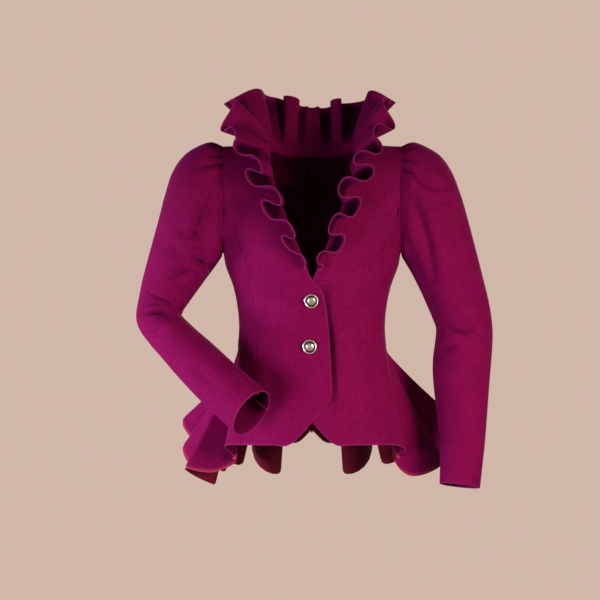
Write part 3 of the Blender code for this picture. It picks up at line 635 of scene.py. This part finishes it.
# Tails
# A circular flounce of wool gathered into the waist of each back, falling in deep flutes to a hem
# that drops towards the centre back. Satin lines it and rolls out past the hem as a narrow edge.
RAY_SIDE_SEAM = 8
TAIL_ROWS = 61
TAIL_COLUMNS = 18        # for each ray
GATHER_HEIGHT = 0.0012
GATHER_COUNTS = (5.3, 8.7)     # half folds for each ray, of the main gathers and the second ones
GATHER_SECOND = 0.6      # height of the second ones, as a share of the main ones'
GATHER_BEND = (1.3, 2.1)       # how far the main ones stray from even steps, and how often
GATHER_RAYS = (9, 11)    # rays between which they begin, behind the side seam
GATHER_START = 0.006     # how far below the seam they reach their height
GATHER_REACH = 0.055     # and how far down they run out,
GATHER_FADE = 1.5        # with this power
LINING_WALL = 0.001
LINING_GAP = 0.0004
LINING_ROLL = 0.0055     # what shows of the lining below the hem
ROLL_STEPS = ((0.35, 0.25), (0.8, 0.75), (1.0, 0.95))   # shares of the roll, down and outwards
LINING_BAND = 0.0065     # width of its coral edge
LINING_BAND_INSIDE = 0.12      # how much of the coral shows on the inner side


def tail(side):
    """A tail's grid: rays from the side seam to the centre back, with fine gathers below the waist.

    The gathers are two sines along the waist, of lengths that don't agree and the first one uneven.
    """
    rays = np.array(FRONT_RAYS + SIDE_RAYS[side])
    last = len(rays) - 1
    place = np.linspace(RAY_SIDE_SEAM, last, TAIL_COLUMNS * (last - RAY_SIDE_SEAM) + 1)
    points = skirt(rays, place[None, :], np.linspace(0, 1, TAIL_ROWS)[:, None])
    main, second = (count * np.pi * place for count in GATHER_COUNTS)
    folds = np.sin(main + GATHER_BEND[0] * np.sin(GATHER_BEND[1] * place)) + GATHER_SECOND * np.sin(second)
    down = lengths(points, 0)
    fade = smooth_step(down, 0, GATHER_START) * np.exp(-(down / GATHER_REACH) ** GATHER_FADE)
    gathers = GATHER_HEIGHT * folds * fade * smooth_step(place, *GATHER_RAYS)
    return points + normals(points) * gathers[..., None]


def lining(points):
    """A lining's grid, from every second point of its tail's, set in by the gap and its own wall.

    Three more rows run on past the hem and roll outwards, to about the middle of the wool.
    """
    points, facing = points[::2, ::2], normals(points)[::2, ::2]
    inset = LINING_WALL + LINING_GAP
    down, out = np.array(ROLL_STEPS).T[..., None, None]
    below = points[-1] + unit(points[-1] - points[-3]) * down * LINING_ROLL
    lift = out * (inset + WOOL_WALL / 2)
    return np.concatenate([points - facing * inset, below + facing[-1] * (lift - inset)])


# The lining's satin is coral, as its edge band shows. Its body is painted the dark maroon of that satin in
# shade, as painted shade, with slubs that differ at random.
SATIN_SHADED_DEEP = (0.075, 0.002, 0.010, 1)
SATIN_SHADED_BRIGHT = (0.120, 0.004, 0.016, 1)
SATIN_EDGE = (0.420, 0.030, 0.075, 1)
# painted shade, laid into the hollows of the lining
SATIN_HOLLOW_SHADE = (0.016, 0.0004, 0.003, 1)
satin, surface = plain_finish("coral_satin", {"Specular IOR Level": 0.05, "Anisotropic": 0.5})
tree = satin.node_tree
grain_map = node(tree, "UVMap", uv_map="grain")
floats = node(tree, "TexWave", {"Scale": 420.0, "Distortion": 0.6}, {"Vector": grain_map.outputs["UV"]})
streaks = node(tree, "Mapping", {"Scale": (60.0, 6.0, 1.0)}, {"Vector": grain_map.outputs["UV"]})
slubs = node(tree, "TexNoise", {"Scale": 2.0, "Detail": 3.0}, {"Vector": streaks.outputs[0]})
# Painted shade: the satin's body is mixed from two shaded colours, at random along its slubs.
base_tone = colour_mix(tree, slubs.outputs["Fac"], SATIN_SHADED_DEEP, SATIN_SHADED_BRIGHT)
banded = colour_mix(tree, mark(tree, "edge", 1.0), base_tone, SATIN_EDGE)
# Painted shade: the satin darkens in its hollows.
hollow_shaded = colour_mix(tree, mark(tree, "hollow_shade", 0.85), banded, SATIN_HOLLOW_SHADE)
gloss = node(tree, "MapRange", {"To Min": 0.60, "To Max": 0.74}, {"Value": slubs.outputs["Fac"]})
ribs = node(tree, "Bump", {"Strength": 0.10, "Distance": 0.0003}, {"Height": floats.outputs["Fac"]})
feed(tree, surface, {"Base Color": hollow_shaded, "Roughness": gloss.outputs[0], "Normal": ribs.outputs[0]})

for side in SIDES:
    points = tail(side)
    cloth(f"tail_{side}", points, side, (1, 0, 1, 1))
    cloth(f"tail_lining_{side}", lining(points), side, (1, 0, 1, 1), satin,
          LINING_WALL, edge_width=LINING_BAND, edge_inside=LINING_BAND_INSIDE)

# Sleeves
# Two-piece sleeves, an upper and an under sleeve, tucked into the armhole round the head so that it
# stands up in a puff. The wearer's left arm hangs, and the right is bent forward across the hip.
SLEEVES = {              # outer_x, outer_z, inner_x, inner_z, centre_y, half_depth, puff
    "left": np.array([
        (0.178, 0.006, 0.162, -0.190, 0.000, 0.068, 0.0060),
        (0.203, -0.002, 0.168, -0.200, 0.000, 0.075, 0.0050),
        (0.227, -0.016, 0.176, -0.213, 0.002, 0.078, 0.0030),
        (0.246, -0.041, 0.184, -0.228, 0.004, 0.077, 0.0010),
        (0.260, -0.074, 0.193, -0.246, 0.006, 0.073, 0.0),
        (0.274, -0.119, 0.203, -0.268, 0.008, 0.067, 0.0),
        (0.302, -0.225, 0.220, -0.308, 0.010, 0.058, 0.0),
        (0.315, -0.280, 0.223, -0.322, 0.008, 0.054, 0.0),
        (0.320, -0.325, 0.221, -0.344, 0.004, 0.052, 0.0),
        (0.318, -0.368, 0.217, -0.376, -0.002, 0.051, 0.0),
        (0.314, -0.412, 0.218, -0.415, -0.012, 0.048, 0.0),
        (0.306, -0.510, 0.228, -0.505, -0.032, 0.041, 0.0),
        (0.301, -0.555, 0.229, -0.549, -0.042, 0.038, 0.0),
        (0.296, -0.598, 0.228, -0.590, -0.050, 0.035, 0.0),
    ]),
    "right": np.array([
        (0.178, 0.006, 0.163, -0.190, 0.000, 0.068, 0.0060),
        (0.203, -0.001, 0.169, -0.199, 0.000, 0.075, 0.0050),
        (0.227, -0.016, 0.176, -0.209, 0.002, 0.078, 0.0030),
        (0.246, -0.042, 0.184, -0.220, 0.004, 0.077, 0.0010),
        (0.258, -0.077, 0.193, -0.232, 0.006, 0.073, 0.0),
        (0.271, -0.125, 0.203, -0.246, 0.009, 0.067, 0.0),
        (0.297, -0.219, 0.225, -0.277, 0.014, 0.054, 0.0),
        (0.305, -0.255, 0.231, -0.286, 0.014, 0.050, 0.0),
        (0.311, -0.302, 0.234, -0.301, 0.003, 0.047, 0.0),
        (0.292, -0.334, 0.220, -0.312, -0.018, 0.046, 0.0),
        (0.270, -0.359, 0.203, -0.322, -0.044, 0.045, 0.0),
        (0.240, -0.391, 0.175, -0.342, -0.075, 0.044, 0.0),
        (0.203, -0.427, 0.141, -0.370, -0.112, 0.043, 0.0),
        (0.166, -0.459, 0.110, -0.393, -0.146, 0.042, 0.0),
        (0.130, -0.489, 0.081, -0.417, -0.174, 0.041, 0.0),
    ]),
}
SLEEVE_SEAMS = (115.0, 150.0)  # the back seam and the front one, measured round from a ring's top
SLEEVE_ROWS = 11         # rows of the grid for each ring
SLEEVE_COLUMNS = (136, 30)     # of the upper and the under sleeve
SEAM_SQUARE = 0.003      # the sleeve leaves the armhole squarely for this far
HEAD_RINGS = 2           # over these first rings it turns from straight out to the arm's way,
HEAD_PULL = (4, 0, 0)    # from this pull
PUFF_ROUND = (60, 95)    # degrees from the top between which the puff dies away
UNDERARM_LIFT = 0.0025   # keeps the sleeve clear of the side seam under the arm,
UNDERARM_REACH = (0.045, 0.075)      # from this far below the armhole's middle,
UNDERARM_RINGS = (1, 2)  # and dies away between these rings
TUCKS = {                # angle from the top (front positive), drift, length, half_width in degrees, depth
    "left": [
        (20.0, 60, 0.034, 3.5, 0.0080), (36.0, 180, 0.046, 3.8, 0.0125), (50.0, 210, 0.066, 4.2, 0.0140),
        (6.0, 0, 0.026, 3.5, 0.0050), (-9.0, 0, 0.030, 4.0, 0.0060), (-26.0, -120, 0.042, 4.2, 0.0095),
        (-43.0, -160, 0.055, 4.2, 0.0115), (-60.0, -120, 0.046, 4.5, 0.0075),
    ],
    "right": [
        (13.0, 0, 0.032, 3.6, 0.0065), (31.0, 40, 0.050, 3.8, 0.0115), (45.0, -20, 0.066, 4.4, 0.0135),
        (66.0, 60, 0.050, 8.0, 0.0065), (-6.0, 0, 0.026, 3.5, 0.0050), (-22.0, -80, 0.038, 4.0, 0.0080),
        (-39.0, -140, 0.050, 4.2, 0.0110), (-57.0, -100, 0.050, 4.5, 0.0085),
    ],
}
TUCK_START = 0.006       # how far from the seam a tuck is whole,
TUCK_WHOLE = 0.3         # which it stays for this share of its length
TUCK_SPREAD = 14         # it grows wider by this many times itself for each metre down
SLEEVE_CREASES = {       # x0, z0, x1, z1, bow, half_width, trough, ridge, face
    "left": [
        (0.156, -0.125, 0.224, -0.300, -0.006, 0.0090, 0.0065, 0.0, -1),
        (0.168, -0.070, 0.213, -0.245, 0.012, 0.0110, 0.0085, 0.0036, -1),
        (0.188, -0.044, 0.240, -0.068, -0.006, 0.0095, 0.0075, 0.0036, -1),
        (0.206, -0.088, 0.248, -0.094, 0.005, 0.0085, 0.0048, 0.0030, -1),
        (0.238, -0.130, 0.262, -0.235, 0.006, 0.0140, 0.0026, 0.0020, -1),
        (0.240, -0.318, 0.300, -0.312, -0.006, 0.0090, 0.0052, 0.0034, -1),
        (0.222, -0.368, 0.262, -0.344, 0.006, 0.0080, 0.0050, 0.0036, -1),
        (0.244, -0.284, 0.300, -0.266, 0.004, 0.0080, 0.0018, 0.0014, -1),
        (0.240, -0.430, 0.254, -0.540, 0.004, 0.0110, 0.0016, 0.0012, -1),
        (0.180, -0.060, 0.222, -0.190, -0.008, 0.0130, 0.0060, 0.0036, 1),
        (0.228, -0.330, 0.304, -0.300, 0.006, 0.0100, 0.0040, 0.0032, 1),
        (0.232, -0.372, 0.300, -0.356, -0.005, 0.0090, 0.0032, 0.0026, 1),
        (0.206, -0.220, 0.270, -0.200, 0.005, 0.0110, 0.0026, 0.0020, 1),
    ],
    "right": [
        (0.167, -0.068, 0.206, -0.158, 0.006, 0.0100, 0.0085, 0.0040, -1),
        (0.238, -0.148, 0.188, -0.154, -0.004, 0.0080, 0.0070, 0.0050, -1),
        (0.264, -0.170, 0.224, -0.178, 0.003, 0.0070, 0.0036, 0.0026, -1),
        (0.216, -0.192, 0.176, -0.210, -0.004, 0.0080, 0.0100, 0.0044, -1),
        (0.266, -0.226, 0.210, -0.210, 0.004, 0.0070, 0.0060, 0.0036, -1),
        (0.240, -0.298, 0.306, -0.298, 0.010, 0.0060, 0.0052, 0.0050, -1),
        (0.258, -0.312, 0.298, -0.322, -0.004, 0.0060, 0.0036, 0.0028, -1),
        (0.246, -0.276, 0.286, -0.256, 0.004, 0.0070, 0.0026, 0.0022, -1),
        (0.216, -0.352, 0.150, -0.420, 0.006, 0.0110, 0.0020, 0.0016, -1),
        (0.176, -0.070, 0.230, -0.170, 0.008, 0.0120, 0.0056, 0.0034, 1),
        (0.226, -0.262, 0.298, -0.246, 0.005, 0.0090, 0.0042, 0.0032, 1),
        (0.240, -0.292, 0.306, -0.300, -0.006, 0.0070, 0.0040, 0.0034, 1),
        (0.210, -0.210, 0.270, -0.190, 0.005, 0.0100, 0.0028, 0.0020, 1),
    ],
}


def sleeve(side, angles):
    """A sleeve's fine rings at the angles round from their top, front first, from armhole to cuff.

    A ring is an oval that spans from its outer point to its inner one across the arm. Round the head
    it is lifted by the puff, less a bell for each tuck, which drifts round the arm as it goes down it,
    grows wider and fades.
    """
    seam_rings = [(x, ARMHOLE_TOP, x, ARMHOLE_BOTTOM + UNDERARM_LIFT, 0, ARMHOLE_HALF_DEPTH, 0)
                  for x in (ARMHOLE_X, ARMHOLE_X + SEAM_SQUARE)]
    table = np.vstack([seam_rings, SLEEVES[side]])
    place = np.linspace(0, len(table) - 1, SLEEVE_ROWS * (len(table) - 1) + 1)
    outer_x, outer_z, inner_x, inner_z, centre_y, half_depth, puff = smooth_rows(table, place).T
    outer = np.stack([outer_x, centre_y, outer_z], axis=-1)
    inner = np.stack([inner_x, centre_y, inner_z], axis=-1)
    centre = (outer + inner) / 2
    arm = unit(np.gradient(centre, axis=0))
    arm = unit(arm + (1 - smooth_step(place, 0, HEAD_RINGS))[:, None] * HEAD_PULL)
    up = unit(outer - inner)
    front = unit(np.cross(arm, up))
    turn = np.radians(angles)[None, :, None]
    half = np.linalg.norm(outer - inner, axis=-1)[:, None, None] / 2
    to_top = up[:, None] * np.cos(turn)
    to_front = front[:, None] * np.sin(turn)
    down = lengths(outer[:, None], 0)
    lift = np.maximum(puff, 0)[:, None] * (1 - smooth_step(np.abs(angles), *PUFF_ROUND))
    for angle, drift, length, half_width, depth in TUCKS[side]:
        spread = half_width * (1 + TUCK_SPREAD * down)
        fade = smooth_step(down, 0, TUCK_START) * (1 - smooth_step(down, TUCK_WHOLE * length, length))
        lift = lift - depth * fade * np.exp(-((angles - angle - drift * down) / spread) ** 2)
    points = centre[:, None] + to_top * half + to_front * half_depth[:, None, None]
    points = points + (to_top + to_front) * lift[..., None]
    below = smooth_step((ARMHOLE_TOP + ARMHOLE_BOTTOM) / 2 - points[..., 2], *UNDERARM_REACH)
    points[..., 0] += UNDERARM_LIFT * below * (1 - smooth_step(place, *UNDERARM_RINGS))[:, None]
    return creased(points[:, ::-1], SLEEVE_CREASES[side])


for side in SIDES:
    over = np.linspace(-SLEEVE_SEAMS[0], SLEEVE_SEAMS[1], SLEEVE_COLUMNS[0])
    under = np.linspace(SLEEVE_SEAMS[1], 360 - SLEEVE_SEAMS[0], SLEEVE_COLUMNS[1])
    for part, angles in (("upper", over), ("under", under)):
        cloth(f"{part}_sleeve_{side}", sleeve(side, angles), side, (1, 0, 1, 1))

# Collar ruffles
# A circular flounce of the same wool, sewn along each half of the neckline. It stands up round the
# neck and runs down the lapel in bulging flutes, and its cut edge is paler as a painted highlight.
RUFFLE = {               # along, out, front, up, width, wave, slant, flutes
    "left": np.array([
        (0.00, 0.30, 0.95, 0.00, 0.012, 0.0030, 0.3, 0.25),
        (0.12, 0.28, 0.95, 0.08, 0.036, 0.0210, 0.3, 1.22),
        (0.28, 0.26, 0.94, 0.14, 0.046, 0.0240, 0.3, 2.22),
        (0.44, 0.24, 0.94, 0.20, 0.054, 0.0240, 0.3, 3.22),
        (0.57, 0.66, 0.56, 0.44, 0.064, 0.0225, 0.2, 4.40),
        (0.66, 0.76, 0.12, 0.62, 0.092, 0.0180, 0.0, 5.50),
        (0.74, 0.52, -0.12, 0.84, 0.112, 0.0170, -0.4, 6.50),
        (0.84, 0.22, -0.36, 0.91, 0.104, 0.0160, 0.0, 7.50),
        (0.94, 0.08, -0.42, 0.90, 0.099, 0.0110, 0.0, 8.35),
        (1.00, 0.00, -0.45, 0.89, 0.096, 0.0000, 0.0, 8.80),
    ]),
    "right": np.array([
        (0.00, 0.30, 0.95, 0.00, 0.012, 0.0030, 0.75, 0.40),
        (0.19, 0.34, 0.92, 0.05, 0.042, 0.0240, 0.75, 1.75),
        (0.35, 0.44, 0.87, 0.10, 0.052, 0.0255, 0.75, 2.75),
        (0.49, 0.60, 0.74, 0.16, 0.062, 0.0245, 0.75, 3.72),
        (0.60, 0.88, 0.36, 0.30, 0.090, 0.0210, 0.5, 4.75),
        (0.68, 0.76, 0.08, 0.60, 0.108, 0.0210, 0.0, 5.85),
        (0.75, 0.48, -0.15, 0.86, 0.114, 0.0200, -0.4, 6.50),
        (0.83, 0.22, -0.36, 0.91, 0.114, 0.0170, 0.0, 7.25),
        (0.94, 0.06, -0.42, 0.90, 0.102, 0.0110, 0.0, 8.15),
        (1.00, 0.00, -0.45, 0.89, 0.096, 0.0000, 0.0, 8.60),
    ]),
}
WAVE = 5                 # column of the flutes' height
RUFFLE_FOOT = 0.14       # the first share of the width stands upright on the neckline
RUFFLE_BULB = 0.15       # how far a flute swells past its neck, as a share of its length
RUFFLE_FILL = 0.5        # the flutes keep most of their breadth down to the seam
RUFFLE_FLAT = (0.01, 0.07)     # it lies flat this close to its seam at the nape
RUFFLE_LEAST_RISE = 0.05
RUFFLE_ROWS = 29
RUFFLE_COLUMNS = 370
RUFFLE_UNEVEN = (0.16, 2.3, 0.7)   # how much the flutes' depths differ, and the sine that they follow
NECKLINE_STEPS = (120, 60)     # points up the front edge and round the neck


def neckline(side):
    """The neckline from the ruffle's end up the front edge, over the shoulder and round to the nape."""
    front_rows = np.linspace(ROW_RUFFLE_END, 0, NECKLINE_STEPS[0])
    back_rows = ROW_NAPE * np.sin(np.linspace(0, np.pi / 2, NECKLINE_STEPS[1]))
    path = np.concatenate([bodice(front_rows, seam_angle(front_rows, NECK), False),
                           bodice(back_rows, neck_angle(back_rows), True)[1:]])
    return lapped(path, side)


def ruffle(side):
    """A ruffle's grid: cloth that stands on the neckline and waves more towards its free edge.

    Each column starts upright and then leans the way its station says. A flute is a sine across the
    cloth, with a second one along it that swells the flute past its neck, and no two are quite alike.
    """
    path = neckline(side)
    length = lengths(path[:, None], 0)[:, 0]
    table = RUFFLE[side]
    flutes = np.linspace(table[0, -1], table[-1, -1], RUFFLE_COLUMNS)
    along, out, front, up, width, wave, slant, _ = smooth_rows(table, row_where(table, -1, flutes)).T
    base = np.stack([np.interp(along * length[-1], length, path[:, k]) for k in range(3)], axis=-1)
    flat = smooth_step(1 - along, *RUFFLE_FLAT)
    depth, step, start = RUFFLE_UNEVEN
    wave = wave * flat * (1 + depth * np.sin(step * flutes + start))
    run = unit(np.gradient(base, axis=0))
    lean = np.stack([out, -front, up], axis=-1)
    upright = np.stack([0 * out, -np.maximum(front, 0), np.maximum(up, RUFFLE_LEAST_RISE)], axis=-1)
    lean, upright = (unit(v - run * np.sum(run * v, axis=-1, keepdims=True)) for v in (lean, upright))
    across = unit(np.cross(run, lean) + slant[:, None] * run)
    flute_length = length[-1] * np.gradient(along, flutes)
    swell = RUFFLE_BULB * flute_length * smooth_step(wave, 0, table[1, WAVE])
    level = np.linspace(0, 1, RUFFLE_ROWS)[:, None, None]
    grow = np.clip((level - RUFFLE_FOOT) / (1 - RUFFLE_FOOT), 0, 1) ** RUFFLE_FILL
    turn = 2 * np.pi * flutes
    shift = across * (wave * np.sin(turn))[:, None] - run * (swell * np.sin(2 * turn))[:, None]
    stand = upright * np.minimum(level, RUFFLE_FOOT) + lean * np.maximum(level - RUFFLE_FOOT, 0)
    points = base + width[:, None] * stand + grow * shift
    points[:, -1, 0] = 0
    return points


for side in SIDES:
    cloth(f"collar_ruffle_{side}", ruffle(side), side, (1, 0, 0, 1), offset=0)

# Buttons
# Two turned shank buttons of antique silver: a low dome in a dark groove, inside a bright raised rim.
# Their shanks are sewn to the upper front, one above the waist and one at it.
BUTTON_RADIUS = 0.01275
BUTTON_PLACES = {"upper": (-0.0016, -0.260), "lower": (-0.0045, -0.342)}
BUTTON_PROFILE = np.array([    # share of the radius, height above the cloth
    (0.00, 0.0078), (0.16, 0.0077), (0.32, 0.0074), (0.46, 0.0069), (0.56, 0.0062), (0.62, 0.0054),
    (0.66, 0.0047), (0.71, 0.0045), (0.76, 0.0049), (0.82, 0.0057), (0.88, 0.0061), (0.94, 0.0060),
    (0.98, 0.0054), (1.00, 0.0046), (0.97, 0.0038), (0.90, 0.0032), (0.60, 0.0028), (0.26, 0.0026),
    (0.22, 0.0020), (0.22, 0.0004), (0.00, 0.0004),
])
BUTTON_ROWS = 4          # rows of the grid for each point of the profile
BUTTON_STEPS = 96
POLE_GAP = 1e-7          # the points of the first row, and of the last, are merged into one
TARNISH = [              # share of the way along the profile, colour
    (0.00, (0.46, 0.45, 0.43, 1)),
    (0.17, (0.38, 0.37, 0.35, 1)),
    (0.27, (0.10, 0.085, 0.07, 1)),
    (0.37, (0.035, 0.028, 0.024, 1)),
    (0.43, (0.30, 0.27, 0.24, 1)),
    (0.50, (0.72, 0.69, 0.65, 1)),
    (0.62, (0.55, 0.52, 0.48, 1)),
    (1.00, (0.10, 0.085, 0.07, 1)),
]
silver, surface = plain_finish("antique_silver", {"Metallic": 1.0})
tree = silver.node_tree
worn = node(tree, "UVMap", uv_map="turned")
radial = node(tree, "SeparateXYZ", links={0: worn.outputs["UV"]})
tarnish = node(tree, "ValToRGB", links={"Fac": radial.outputs["X"]})
for stop in (0, -1):
    tarnish.color_ramp.elements[stop].color = TARNISH[stop][1]
for share, colour in TARNISH[1:-1]:
    tarnish.color_ramp.elements.new(share).color = colour
object_map = node(tree, "TexCoord")
speckle = node(tree, "TexNoise", {"Scale": 900.0, "Detail": 3.0}, {"Vector": object_map.outputs["Object"]})
spots = node(tree, "MapRange", {"From Min": 0.35, "From Max": 0.65, "To Min": 0.75, "To Max": 1.1},
             {"Value": speckle.outputs["Fac"]})
aged = node(tree, "Mix", {"Factor": 1.0}, {MIX_A: tarnish.outputs["Color"], MIX_B: spots.outputs[0]},
            data_type="RGBA", blend_type="MULTIPLY").outputs[MIX_RESULT]
buffed = node(tree, "MapRange", {"To Min": 0.22, "To Max": 0.42}, {"Value": speckle.outputs["Fac"]})
hammered = node(tree, "TexVoronoi", {"Scale": 620.0}, {"Vector": object_map.outputs["Object"]})
dents = node(tree, "Bump", {"Strength": 0.25, "Distance": 0.0003}, {"Height": hammered.outputs["Distance"]})
feed(tree, surface, {"Base Color": aged, "Roughness": buffed.outputs[0], "Normal": dents.outputs[0]})


def ring_faces(rows, columns):
    """The corners of a grid's faces, row by row, where the last column meets the first."""
    number = np.arange(rows * columns).reshape(rows, columns)
    after = np.roll(number, -1, axis=1)
    return np.stack([number[:-1], number[1:], after[1:], after[:-1]], axis=-1).reshape(-1, 4)


def button(x, height):
    """A button's grid: its profile turned round an axis square to the front at that height."""
    rows = np.linspace(0, len(BUTTON_PROFILE) - 1, BUTTON_ROWS * (len(BUTTON_PROFILE) - 1) + 1)
    radius, rise = smooth_rows(BUTTON_PROFILE, rows).T[..., None]
    radius[[0, -1]] = 0
    radius = BUTTON_RADIUS * np.maximum(radius, 0)
    turn = np.linspace(0, 2 * np.pi, BUTTON_STEPS, endpoint=False)
    depth, above = np.interp([height, height + BUTTON_RADIUS], BODY[::-1, 0], BODY[::-1, 2])
    tilt = np.arctan2(above - depth, BUTTON_RADIUS)
    front, up = (0, -np.cos(tilt), -np.sin(tilt)), (0, -np.sin(tilt), np.cos(tilt))
    seat = (x, -(depth + LAP_LIFT + WOOL_WALL), height)
    ways = ((radius * np.cos(turn), (1, 0, 0)), (radius * np.sin(turn), up), (rise + 0 * turn, front))
    return seat + sum(np.multiply.outer(size, way) for size, way in ways)


for place, (x, height) in BUTTON_PLACES.items():
    points = button(x, height)
    rows, columns = points.shape[:2]
    faces = ring_faces(rows, columns)
    mesh = bpy.data.meshes.new(f"button_{place}_turned")
    mesh.from_pydata(points.reshape(-1, 3).tolist(), [], faces.tolist())
    share = np.repeat(np.linspace(0, 1, rows), columns)
    round_share = np.tile(np.arange(columns) / columns, rows)
    turned = np.stack([share, round_share], axis=-1)
    mesh.uv_layers.new(name="turned").data.foreach_set("uv", turned[faces.ravel()].ravel())
    shape = bmesh.new()
    shape.from_mesh(mesh)
    bmesh.ops.remove_doubles(shape, verts=shape.verts, dist=POLE_GAP)
    shape.to_mesh(mesh)
    shape.free()
    dressed(mesh, f"button_{place}", silver)

# Studio
# A plain pale floor far below the worn jacket that sweeps up all round and is evenly bright. Two soft
# lights stand in front, a cool one on the left and a stronger, warm one on the right, with a cool one
# at the left side and a broad one behind.
FLOOR_Z = -1.35
FLOOR_FLAT = 8.6         # radius at which the floor begins to rise
FLOOR_SWEEP = 12.0       # radius of the sweep
FLOOR_ROWS = 24
FLOOR_COLUMNS = 96
FLOOR_COLOUR = (0.660, 0.500, 0.420, 1)
turn = np.linspace(0, 2 * np.pi, FLOOR_COLUMNS, endpoint=False)
sweep = np.linspace(0, np.pi / 2, FLOOR_ROWS)[:, None]
radius = FLOOR_FLAT + FLOOR_SWEEP * np.sin(sweep)
rise = FLOOR_Z + FLOOR_SWEEP * (1 - np.cos(sweep))
bowl = np.stack(np.broadcast_arrays(radius * np.cos(turn), radius * np.sin(turn), rise), axis=-1)
faces = ring_faces(FLOOR_ROWS, FLOOR_COLUMNS).tolist() + [list(range(FLOOR_COLUMNS))]
floor_mesh = bpy.data.meshes.new("floor")
floor_mesh.from_pydata(bowl.reshape(-1, 3).tolist(), [], faces)
floor_mesh.shade_smooth()
matte, _ = plain_finish("floor", {
    "Base Color": FLOOR_COLOUR,
    "Roughness": 0.95,
    "Specular IOR Level": 0.0,
    "Emission Color": FLOOR_COLOUR,
    "Emission Strength": 0.80,
})
floor_mesh.materials.append(matte)
floor = bpy.data.objects.new("floor", floor_mesh)
floor.visible_diffuse = False
bpy.context.scene.collection.objects.link(floor)
world = bpy.data.worlds.new("surround")
world.use_nodes = True
surround = world.node_tree.nodes["Background"]
surround.inputs["Color"].default_value = (1.0, 0.96, 0.93, 1)
surround.inputs["Strength"].default_value = 0.16
bpy.context.scene.world = world
LIGHT_AIM = np.array((0.0, 0.0, -0.52))
LIGHTS = [               # name, place, size, spread in degrees, power, colour
    ("left_light", (-1.25, -1.50, -0.62), 0.7, 60.0, 3.9, (0.82, 0.80, 1.0)),
    ("right_light", (1.30, -1.45, -0.12), 0.7, 70.0, 6.4, (1.0, 0.86, 0.76)),
    ("side_light", (-2.00, 0.05, -0.40), 0.6, 60.0, 6.5, (0.80, 0.76, 1.0)),
    ("back_light", (0.4, 2.4, 0.2), 1.6, 180.0, 36.0, (1.0, 0.95, 0.92)),
]
for name, place, size, spread, power, colour in LIGHTS:
    lamp = bpy.data.lights.new(name, "AREA")
    lamp.size = size
    lamp.spread = np.radians(spread)
    lamp.energy = power
    lamp.color = colour
    light = bpy.data.objects.new(name, lamp)
    light.location = place
    aim = LIGHT_AIM - place
    tip = np.arctan2(np.hypot(aim[0], aim[1]), -aim[2])
    light.rotation_euler = (tip, 0, np.arctan2(aim[1], aim[0]) - np.pi / 2)
    bpy.context.scene.collection.objects.link(light)
